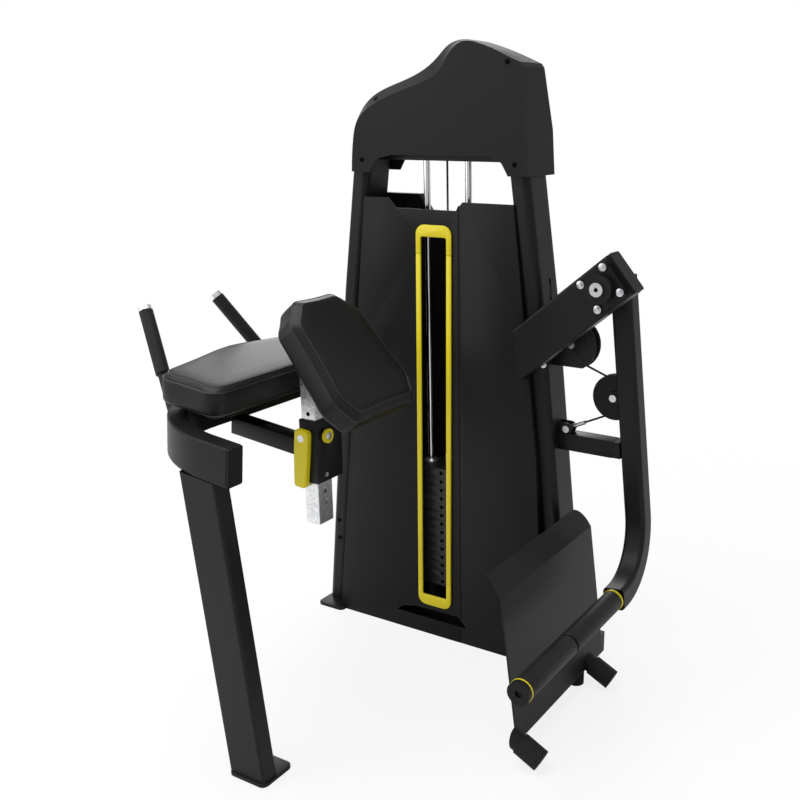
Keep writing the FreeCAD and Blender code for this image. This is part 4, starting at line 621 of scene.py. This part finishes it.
def ring_form(corners, rounding, rings):
    """A closed form of rings: each ring is (inset, height) on the same outline."""
    base = outline(corners, rounding)
    levels = [ring(base, inset, height) for inset, height in rings]
    top = len(rings) - 1
    bpy.ops.mesh.primitive_cylinder_add(vertices=len(base), radius=1.0, depth=top, end_fill_type="NGON")
    piece = bpy.context.object
    edit(piece, "EDGE")
    leave()
    spots = piece.data.vertices
    for edge in piece.data.edges:
        low, high = edge.vertices
        edge.select = abs(spots[low].co.z - spots[high].co.z) > 0.5 * top
    bpy.ops.object.mode_set(mode="EDIT")
    bpy.ops.mesh.subdivide(number_cuts=top - 1)
    leave()
    for spot in piece.data.vertices:
        level = levels[round(spot.co.z + top / 2)]
        turn = math.atan2(spot.co.x, spot.co.y) / (2 * math.pi)
        spot.co = level[round(turn * len(base)) % len(base)]
    edit_all(piece)
    bpy.ops.mesh.normals_make_consistent(inside=False)
    leave()
    return piece


# %% A sewn welt


def seam_cord(corners, rounding, inset, height, radius):
    """A thin sewn welt that follows the outline at one height."""
    base = outline(corners, rounding)
    bpy.ops.mesh.primitive_circle_add(vertices=len(base), radius=1.0, fill_type="NOTHING")
    piece = bpy.context.object
    for spot, place in zip(piece.data.vertices, ring(base, inset, height)):
        spot.co = place
    only(piece)
    bpy.ops.object.convert(target="CURVE")
    piece = bpy.context.object
    piece.data.bevel_depth = radius
    piece.data.bevel_resolution = 2
    bpy.ops.object.convert(target="MESH")
    return bpy.context.object


# %% [markdown]
# ## The cover's profile
#
# From the bottom up, the cover tucks under the board, rises in a side that bulges a little, slopes over the
# border from one welt to the other, and crowns softly over the face.

# %% Upholster one pad
PAD_THICK = 62.0 * MM
CROWN_RISE = 3.2 * MM
WELT_RADIUS = 1.1 * MM
WELT_LOWER_INSET, WELT_UPPER_SINK = 0.8 * MM, 0.4 * MM
WELT_ANGLE = 60.0


def upholster(label, body, corners, rounding, border, place):
    """One pad with the two welts of its sloped border."""
    edge = PAD_THICK - border
    crown = PAD_THICK - CROWN_RISE
    tuck = [(16 * MM, 0.4 * MM), (7 * MM, 0.4 * MM), (2.4 * MM, 1.8 * MM), (0.6 * MM, 5 * MM)]
    side = [(0, 9 * MM), (-0.5 * MM, 0.5 * edge), (0, edge - 3 * MM), (0.5 * MM, edge - 0.8 * MM)]
    slope = [(1.8 * MM, edge + 1.2 * MM), (0.5 * border, (edge + crown) / 2 + 0.8 * MM),
             (border - 2.5 * MM, crown - 1.6 * MM)]
    face = [(border, crown), (border + 3 * MM, crown + 0.9 * MM), (border + 12 * MM, crown + 1.9 * MM),
            (border + 30 * MM, crown + 2.8 * MM), (border + 38 * MM, crown + 3.0 * MM)]
    pad = ring_form(corners, rounding, tuck + side + slope + face)
    pad.matrix_world = place
    hand_over(pad, label + "_cover", body, VINYL, ROUND_ANGLE)
    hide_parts(label)
    # The welts wear the lighter vinyl, a painted highlight along both edges of the border.
    welts = (("lower", WELT_LOWER_INSET, edge),
             ("upper", border - WELT_UPPER_SINK, crown - WELT_UPPER_SINK))
    for part, inset, height in welts:
        welt = seam_cord(corners, rounding, inset, height, WELT_RADIUS)
        welt.matrix_world = place
        hand_over(welt, label + "_welt_" + part, body, WELT_PAINTED_HIGHLIGHT, WELT_ANGLE)
    print(label, [round(v, 3) for v in pad.dimensions])


# %% [markdown]
# ## Chest pad
#
# The chest pad is an eight-cornered cushion, narrower at its head, that leans back at 50 degrees. Its face
# has a wide sloped border with a welt on both edges, where the cover's panels are sewn together.

# %% Chest pad
CHEST_SLOPE = math.radians(50.0)
CHEST_FACE = Vector((72.6, -395.0, 856.0)) * MM
CHEST_ROUNDING, CHEST_BORDER = 13 * MM, 16 * MM
CHEST_TOP, CHEST_SHOULDER, CHEST_WAIST, CHEST_END = 133.0 * MM, 87.0 * MM, 100.0 * MM, 147.0 * MM
CHEST_HEAD, CHEST_UPPER, CHEST_HIP, CHEST_FOOT = 61.0 * MM, 107.0 * MM, 124.0 * MM, 99.0 * MM
chest_place = (Matrix.Translation(CHEST_FACE) @ Matrix.Rotation(CHEST_SLOPE, 4, "Y")
               @ Matrix.Translation((0, 0, -PAD_THICK)))
right_side = [(-CHEST_TOP, CHEST_HEAD), (-CHEST_SHOULDER, CHEST_UPPER), (CHEST_WAIST, CHEST_HIP),
              (CHEST_END, CHEST_FOOT)]
chest_corners = right_side + [(x, -y) for x, y in reversed(right_side)]
upholster("chest_pad", "chest_support", chest_corners, CHEST_ROUNDING, CHEST_BORDER, chest_place)

# %% [markdown]
# ## Elbow pad
#
# The elbow pad is a long flat cushion across the seat beam, straight on the user's side and bowed outwards
# on the other. It tilts by six degrees, like the beam under it, and lies on a board and two rails.

# %% Elbow pad
SEAT_TILT = math.radians(6.0)
SEAT_BEAM = Vector((-258.0, 0.0, 700.5)) * MM
SEAT_BEAM_HALF, RAIL_TALL, BOARD_THICK = 40 * MM, 12 * MM, 8 * MM
ELBOW_X, ELBOW_Y = -193.0 * MM, -395.0 * MM
ELBOW_ROUNDING, ELBOW_BORDER = 34 * MM, 12 * MM
RIGHT, LEFT_END, LEFT_MIDDLE, HALF = 114 * MM, -43 * MM, -92 * MM, 242 * MM
MIDDLE_HALF = 0.1 * HALF
elbow_rise = SEAT_BEAM_HALF + RAIL_TALL + BOARD_THICK
seat_turn = Matrix.Rotation(SEAT_TILT, 4, "Y")
elbow_local = seat_turn.inverted() @ (Vector((ELBOW_X, 0, SEAT_BEAM.z)) - SEAT_BEAM)
elbow_place = (Matrix.Translation(SEAT_BEAM) @ seat_turn
               @ Matrix.Translation((elbow_local.x, ELBOW_Y, elbow_rise)))
elbow_corners = [(LEFT_END, HALF), (RIGHT, HALF), (RIGHT, -HALF), (LEFT_END, -HALF),
                 (LEFT_MIDDLE, -MIDDLE_HALF), (LEFT_MIDDLE, MIDDLE_HALF)]
upholster("elbow_pad", "machine_frame", elbow_corners, ELBOW_ROUNDING, ELBOW_BORDER, elbow_place)

# %% [markdown]
# ## Board and rails under the elbow pad
#
# The board has the pad's own outline, drawn in, with a narrow chamfer on its lower edge. Two flat steel
# bars carry it on the seat beam. They start as cubes, are scaled and bevelled, and lie inside the rounded
# copy of the model's longer rails.

# %% Board under the elbow pad
BOARD_INSET, BOARD_EDGE, BOARD_ROUNDING = 18 * MM, 1 * MM, 20 * MM
board_rings = [(BOARD_INSET + BOARD_EDGE, -BOARD_THICK), (BOARD_INSET, BOARD_EDGE - BOARD_THICK),
               (BOARD_INSET, -BOARD_EDGE), (BOARD_INSET, 0)]
board = ring_form(elbow_corners, BOARD_ROUNDING, board_rings)
board.matrix_world = elbow_place
hand_over(board, "elbow_pad_board_panel", "machine_frame", PAINTED_BOARD)
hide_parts("elbow_pad_board")
print("board under the elbow pad", [round(v, 3) for v in board.dimensions])

# %% Rails under the elbow pad
RAIL_NEAR, RAIL_FAR, RAIL_WIDE, RAIL_BEVEL = 12 * MM, 150 * MM, 40 * MM, 2 * MM
RAIL_OFFSET = 150 * MM
rails = []
for side in (-1, 1):
    middle = ((RAIL_NEAR + RAIL_FAR) / 2, ELBOW_Y + side * RAIL_OFFSET, SEAT_BEAM_HALF + RAIL_TALL / 2)
    bpy.ops.mesh.primitive_cube_add(size=1, location=middle)
    rail = bpy.context.object
    rail.scale = (RAIL_FAR - RAIL_NEAR, RAIL_WIDE, RAIL_TALL)
    only(rail)
    bpy.ops.object.transform_apply(location=True, rotation=True, scale=True)
    apply_modifier(rail, "BEVEL", width=RAIL_BEVEL, segments=2)
    rails.append(rail)
rail_pair = joined(rails)
rail_pair.matrix_world = Matrix.Translation(SEAT_BEAM) @ seat_turn
hand_over(rail_pair, "elbow_pad_rail_pair", "machine_frame", POWDER_COAT)
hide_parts("elbow_pad_rails")
print("rails under the elbow pad", [round(v, 3) for v in rail_pair.dimensions])

# %% [markdown]
# ## Foam rollers
#
# Each roller is a sleeve of skinned foam on the leg bar. It starts as a cylinder, its ends are bevelled
# where the foam is cut, and each end face is pressed in a little round the bar.

# %% Foam rollers
FOAM_SHARE = 0.985
FOAM_BEVEL, END_INSET, END_DIP = 3.5 * MM, 6 * MM, 1.2 * MM


def looks_sideways(centre, normal):
    return abs(normal.y) > FACING


def end_face(centre, normal):
    return looks_sideways(centre, normal) and Vector((centre.x, 0, centre.z)).length < MM


def roller(node, body):
    low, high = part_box(node)
    radius = FOAM_SHARE * (high.x - low.x) / 2
    bpy.ops.mesh.primitive_cylinder_add(vertices=48, radius=radius, depth=high.y - low.y,
                                        location=(low + high) / 2, rotation=(math.pi / 2, 0, 0))
    piece = bpy.context.object
    only(piece)
    bpy.ops.object.transform_apply(location=False, rotation=True, scale=True)
    edit(piece)
    pick_faces(piece, looks_sideways)
    bpy.ops.mesh.bevel(offset=FOAM_BEVEL, segments=4, affect="EDGES", profile=0.5)
    leave()
    edit(piece)
    pick_faces(piece, end_face)
    bpy.ops.mesh.inset(thickness=END_INSET, depth=-END_DIP)
    leave()
    hand_over(piece, node + "_foam", body, FOAM_SKIN, ROUND_ANGLE)
    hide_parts(node)
    print(piece.name, [round(v, 3) for v in piece.dimensions])


roller("far_roller", "far_foam")
roller("near_roller", "near_foam")

# %% [markdown]
# ## Cable runs
#
# The two runs of cable, the drop over the stack and the loop at the arm, are welded copies of the model's
# solid runs in the black jacket, and they stay where the model puts them.

# %% Copies of the cables


def cable_copy(node, name, body_a, body_b):
    piece = welded_copy(node)
    leave()
    piece.name = name
    paint(piece, CABLE_JACKET, ROUND_ANGLE)
    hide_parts(node)
    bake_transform(piece)
    print(name, "stretches between", body_a, "and", body_b)


cable_copy("stack_cable", "stack_cable_run", "machine_frame", "stack_carriage")
cable_copy("arm_cable", "arm_cable_run", "machine_frame", "arm")

# %% [markdown]
# ## Bolt heads and screws
#
# The silver bolts are hexagon heads on washers and the cover's screws are dark button heads with a socket.
# Each is modelled once from a cylinder, with insets and bevels, and then copied to its places. The sizes of
# its details are shares of its radius and height.

# %% A bolt head and a screw head
WASHER_WIDE, WASHER_TALL, WASHER_EDGE = 1.35, 0.25, 0.06
HEX_EDGE, HEX_RIM, HEX_RISE = 0.07, 0.18, 0.05
BUTTON_ROUND, SOCKET_RIM, SOCKET_WALL, SOCKET_DEEP = 0.45, 0.3, 0.04, 0.5
CENTRE_SHARE = 0.1


def bevel_all(piece, width):
    edit_all(piece)
    bpy.ops.mesh.bevel(offset=width, segments=2, affect="EDGES")
    leave()


def hex_head(radius, tall):
    """A hexagon bolt head on a washer, looking along +Z."""
    washer_tall = tall * WASHER_TALL
    hex_tall = tall - washer_tall
    bpy.ops.mesh.primitive_cylinder_add(vertices=32, radius=radius * WASHER_WIDE, depth=washer_tall,
                                        location=(0, 0, washer_tall / 2))
    washer = bpy.context.object
    bevel_all(washer, tall * WASHER_EDGE)
    bpy.ops.mesh.primitive_cylinder_add(vertices=6, radius=radius, depth=hex_tall,
                                        location=(0, 0, washer_tall + hex_tall / 2))
    head = bpy.context.object
    bevel_all(head, tall * HEX_EDGE)
    pick_faces(head, looks_up)
    bpy.ops.mesh.inset(thickness=radius * HEX_RIM, depth=tall * HEX_RISE)
    leave()
    return joined([head, washer])


def button_head(radius, tall):
    """A low round screw head with a socket, looking along +Z."""
    bpy.ops.mesh.primitive_cylinder_add(vertices=24, radius=radius, depth=tall, location=(0, 0, tall / 2))
    head = bpy.context.object
    edit(head)
    pick_faces(head, looks_up)
    bpy.ops.mesh.bevel(offset=tall * BUTTON_ROUND, segments=3, affect="EDGES")
    leave()
    near = radius * CENTRE_SHARE
    pick_faces(head, lambda centre, normal: looks_up(centre, normal) and centre.to_2d().length < near)
    bpy.ops.mesh.inset(thickness=radius * SOCKET_RIM, depth=0)
    bpy.ops.mesh.inset(thickness=radius * SOCKET_WALL, depth=-tall * SOCKET_DEEP)
    leave()
    return head


# %% Copies of a pattern at its places


def aim(spot, direction):
    """A matrix that carries +Z to a direction at a spot."""
    turn = Vector(direction).to_track_quat("Z", "Y").to_matrix().to_4x4()
    return Matrix.Translation(spot) @ turn


def copies(pattern, places, name, body, material):
    """Copies of a pattern at (spot, direction) places, joined as one piece."""
    made = []
    for spot, direction in places:
        piece = pattern.copy()
        piece.data = pattern.data.copy()
        bpy.context.collection.objects.link(piece)
        piece.matrix_world = aim(spot, direction) @ pattern.matrix_world
        made.append(piece)
    piece = joined(made)
    bpy.data.objects.remove(pattern)
    hand_over(piece, name, body, material)
    print(name, "at", len(places), "places")


# %% Silver bolts on the flange bearing and the upright
# The heads on the flange sit on the model's bolts, square to the sloping box beam.
TO_FRONT = (0, -1, 0)
PIVOT = Vector((454.0, 0.0, 956.0)) * MM
BEAM_TURN = Matrix.Rotation(math.radians(-39.5), 4, "Y")
BEAM_FRONT, FLANGE_THICK, FLANGE_BOLT_TALL, FLANGE_HALF = -24, 12, 6, 32
FLANGE_SEAT = Vector((0, BEAM_FRONT - FLANGE_THICK - FLANGE_BOLT_TALL, 0)) * MM
UPRIGHT_FRONT = 26 * MM
UPRIGHT_BOLT = Vector((288.8 * MM, UPRIGHT_FRONT, 758.6 * MM))
HEX_RADIUS, HEX_TALL = 6.5 * MM, 5 * MM
flange_spots = []
for across in (-FLANGE_HALF, FLANGE_HALF):
    for up in (-FLANGE_HALF, FLANGE_HALF):
        offset = BEAM_TURN @ (Vector((across, 0, up)) * MM)
        flange_spots.append((PIVOT + offset + FLANGE_SEAT, TO_FRONT))
copies(hex_head(HEX_RADIUS, HEX_TALL), flange_spots + [(UPRIGHT_BOLT, TO_FRONT)], "flange_bolt_heads",
       "machine_frame", ZINC_PLATE)

# %% Dark screws on the cover and the left upright
COVER_FRONT = 10
COVER_SCREWS = ((-197, 1204), (200, 1416), (219, 1201))
SLOPE_SCREW = Vector((-161.6, 25.0, 1343.5)) * MM
SLOPE_OUT = (-0.28, -0.6, 0.75)
UPRIGHT_SCREW_X, UPRIGHT_SCREW_HEIGHTS = -326 * MM, (246, 195)
BUTTON_RADIUS, BUTTON_TALL = 5.8 * MM, 1.6 * MM
cover_screws = [(Vector((x, COVER_FRONT, z)) * MM, TO_FRONT) for x, z in COVER_SCREWS]
upright_screws = [(Vector((UPRIGHT_SCREW_X, UPRIGHT_FRONT, z * MM)), TO_FRONT)
                  for z in UPRIGHT_SCREW_HEIGHTS]
copies(button_head(BUTTON_RADIUS, BUTTON_TALL), cover_screws + [(SLOPE_SCREW, SLOPE_OUT)] + upright_screws,
       "cover_screws", "machine_frame", SCREW_BLACK)

# %% [markdown]
# ## Small turned details
#
# The pivot's cap has a dark centre, the slide post a dark disc of painted shade at the hole for its locking
# pin, and the pin a bright button inside its yellow ring. Each is a low disc with a bevelled rim, seated on
# the face that carries it.

# %% Discs on faces
TO_RIGHT = (1, 0, 0)
RIM_SHARE = 0.4
HOLE_RADIUS, PIN_RADIUS = 4.5 * MM, 8 * MM
CAP_RISE, HOLE_SHADE_RISE, BUTTON_RISE = 0.6 * MM, 0.4 * MM, 1.2 * MM
HOLE_SHADE_HEIGHT = 710 * MM


def disc(radius, tall):
    """A low turned disc looking along +Z."""
    bpy.ops.mesh.primitive_cylinder_add(vertices=32, radius=radius, depth=tall, location=(0, 0, tall / 2))
    piece = bpy.context.object
    edit(piece)
    pick_faces(piece, looks_up)
    bpy.ops.mesh.bevel(offset=tall * RIM_SHARE, segments=2, affect="EDGES")
    leave()
    return piece


cap_centre = Vector((PIVOT.x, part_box("pivot_shaft")[0].y, PIVOT.z))
copies(disc(HOLE_RADIUS, CAP_RISE), [(cap_centre, TO_FRONT)], "pivot_cap_centre", "arm", SCREW_BLACK)
# The slide post's pin hole is a dark disc on its face: painted shade where the hole is.
post_low, post_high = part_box("slide_post")
post_hole_painted_shade = Vector(((post_low.x + post_high.x) / 2, post_low.y, HOLE_SHADE_HEIGHT))
copies(disc(HOLE_RADIUS, HOLE_SHADE_RISE), [(post_hole_painted_shade, TO_FRONT)], "post_hole_painted_shade", "chest_support", SCREW_BLACK)
ring_low, ring_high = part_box("pin_ring")
pin_face = Vector((ring_high.x, (ring_low.y + ring_high.y) / 2, (ring_low.z + ring_high.z) / 2))
copies(disc(PIN_RADIUS, BUTTON_RISE), [(pin_face, TO_RIGHT)], "pin_button", "pin", ZINC_PLATE)

# %% [markdown]
# ## Floor and backdrop
#
# The machine stands on a plain white floor under a white sky. Both are made whiter for the camera's own
# rays only, so that they pour no more light on the machine. The floor's own shading shows a little near the
# machine and fades out away from it, so that the contact shadows stay and the far floor is even.

# %% Floor
WHITE = (1, 1, 1, 1)
FLOOR_SIZE = 40
FLOOR_GREY = (0.86, 0.86, 0.86, 1.0)
FADE_NEAR, FADE_FAR = 0.7, 2.2
GLOW_NEAR, GLOW_FAR = 0.82, 1.0


def backdrop_material():
    finish = Finish("backdrop")
    ray = finish.tree.nodes.new("ShaderNodeLightPath")
    finish.set(base_color=FLOOR_GREY, roughness=0.9, specular_ior_level=0.1)
    glow = finish.tree.nodes.new("ShaderNodeEmission")
    glow.inputs["Color"].default_value = WHITE
    mixer = finish.tree.nodes.new("ShaderNodeMixShader")
    finish.tree.links.new(finish.shader.outputs[0], mixer.inputs[1])
    finish.tree.links.new(glow.outputs[0], mixer.inputs[2])
    camera_ray = Wire(finish, ray.outputs["Is Camera Ray"])
    spot = finish.node("ShaderNodeTexCoord", output="Object")
    away = finish.node("ShaderNodeVectorMath", {"operation": "LENGTH"}, {0: spot}, output="Value")
    spread = {"Value": away, "From Min": FADE_NEAR, "From Max": FADE_FAR, "To Min": GLOW_NEAR,
              "To Max": GLOW_FAR}
    fade = finish.node("ShaderNodeMapRange", None, spread)
    finish.feed(mixer.inputs[0], fade * camera_ray)
    output = finish.tree.nodes["Material Output"]
    finish.tree.links.new(mixer.outputs[0], output.inputs["Surface"])
    return finish.material


bpy.ops.mesh.primitive_plane_add(size=FLOOR_SIZE, location=(0, 0, 0))
floor = bpy.context.object
floor.name = "studio_floor"
floor.data.materials.append(backdrop_material())
print("floor of", FLOOR_SIZE, "metres")

# %% World
SKY_LIGHT, SKY_SEEN = 0.62, 1.0
world = bpy.data.worlds.new("studio")
bpy.context.scene.world = world
world.use_nodes = True
sky = world.node_tree
background = sky.nodes["Background"]
ray = sky.nodes.new("ShaderNodeLightPath")
strength = sky.nodes.new("ShaderNodeMapRange")
sky.links.new(ray.outputs["Is Camera Ray"], strength.inputs["Value"])
strength.inputs["To Min"].default_value = SKY_LIGHT
strength.inputs["To Max"].default_value = SKY_SEEN
sky.links.new(strength.outputs[0], background.inputs["Strength"])
background.inputs["Color"].default_value = WHITE
print("sky lights the machine at", SKY_LIGHT)

# %% [markdown]
# ## Lamps and camera
#
# Three large soft lamps light the machine: one above, one at the front left and one behind it on the left.
# The camera stands where the photographer stood: the lens and shift come from the photograph's 800 by 800
# frame.

# %% Lamps
MIDDLE = (0.0, -0.2, 0.7)


def soft_lamp(name, place, size, power):
    bpy.ops.object.light_add(type="AREA", location=place)
    lamp = bpy.context.object
    lamp.name = name
    lamp.data.shape = "SQUARE"
    lamp.data.size = size
    lamp.data.energy = power
    direction = Vector(MIDDLE) - Vector(place)
    lamp.rotation_euler = direction.to_track_quat("-Z", "Y").to_euler()
    print(name, "of", power, "watts")


soft_lamp("top_light", (-0.6, -0.8, 3.6), size=2.6, power=75)
soft_lamp("front_light", (-2.6, -3.2, 2.0), size=2.4, power=45)
soft_lamp("back_light", (-2.4, 3.4, 2.2), size=2.6, power=60)

# %% Camera
FRAME_PIXELS = 800
FOCAL_PIXELS = 998.8
PRINCIPAL_X = 485.0
SENSOR = 36.0
CAMERA_PLACE = (1.303, -1.950, 1.300)
LOOKS_DOWN, LOOKS_ROUND = 15.77, 30.59
bpy.ops.object.camera_add(location=CAMERA_PLACE)
camera = bpy.context.object
camera.data.sensor_width = SENSOR
camera.data.lens = FOCAL_PIXELS * SENSOR / FRAME_PIXELS
camera.data.shift_x = -(PRINCIPAL_X - FRAME_PIXELS / 2) / FRAME_PIXELS
camera.rotation_euler = (math.radians(90 - LOOKS_DOWN), 0, math.radians(LOOKS_ROUND))
bpy.context.scene.camera = camera
bpy.context.scene.view_settings.view_transform = "Standard"
print("camera lens", round(camera.data.lens, 2), "mm")
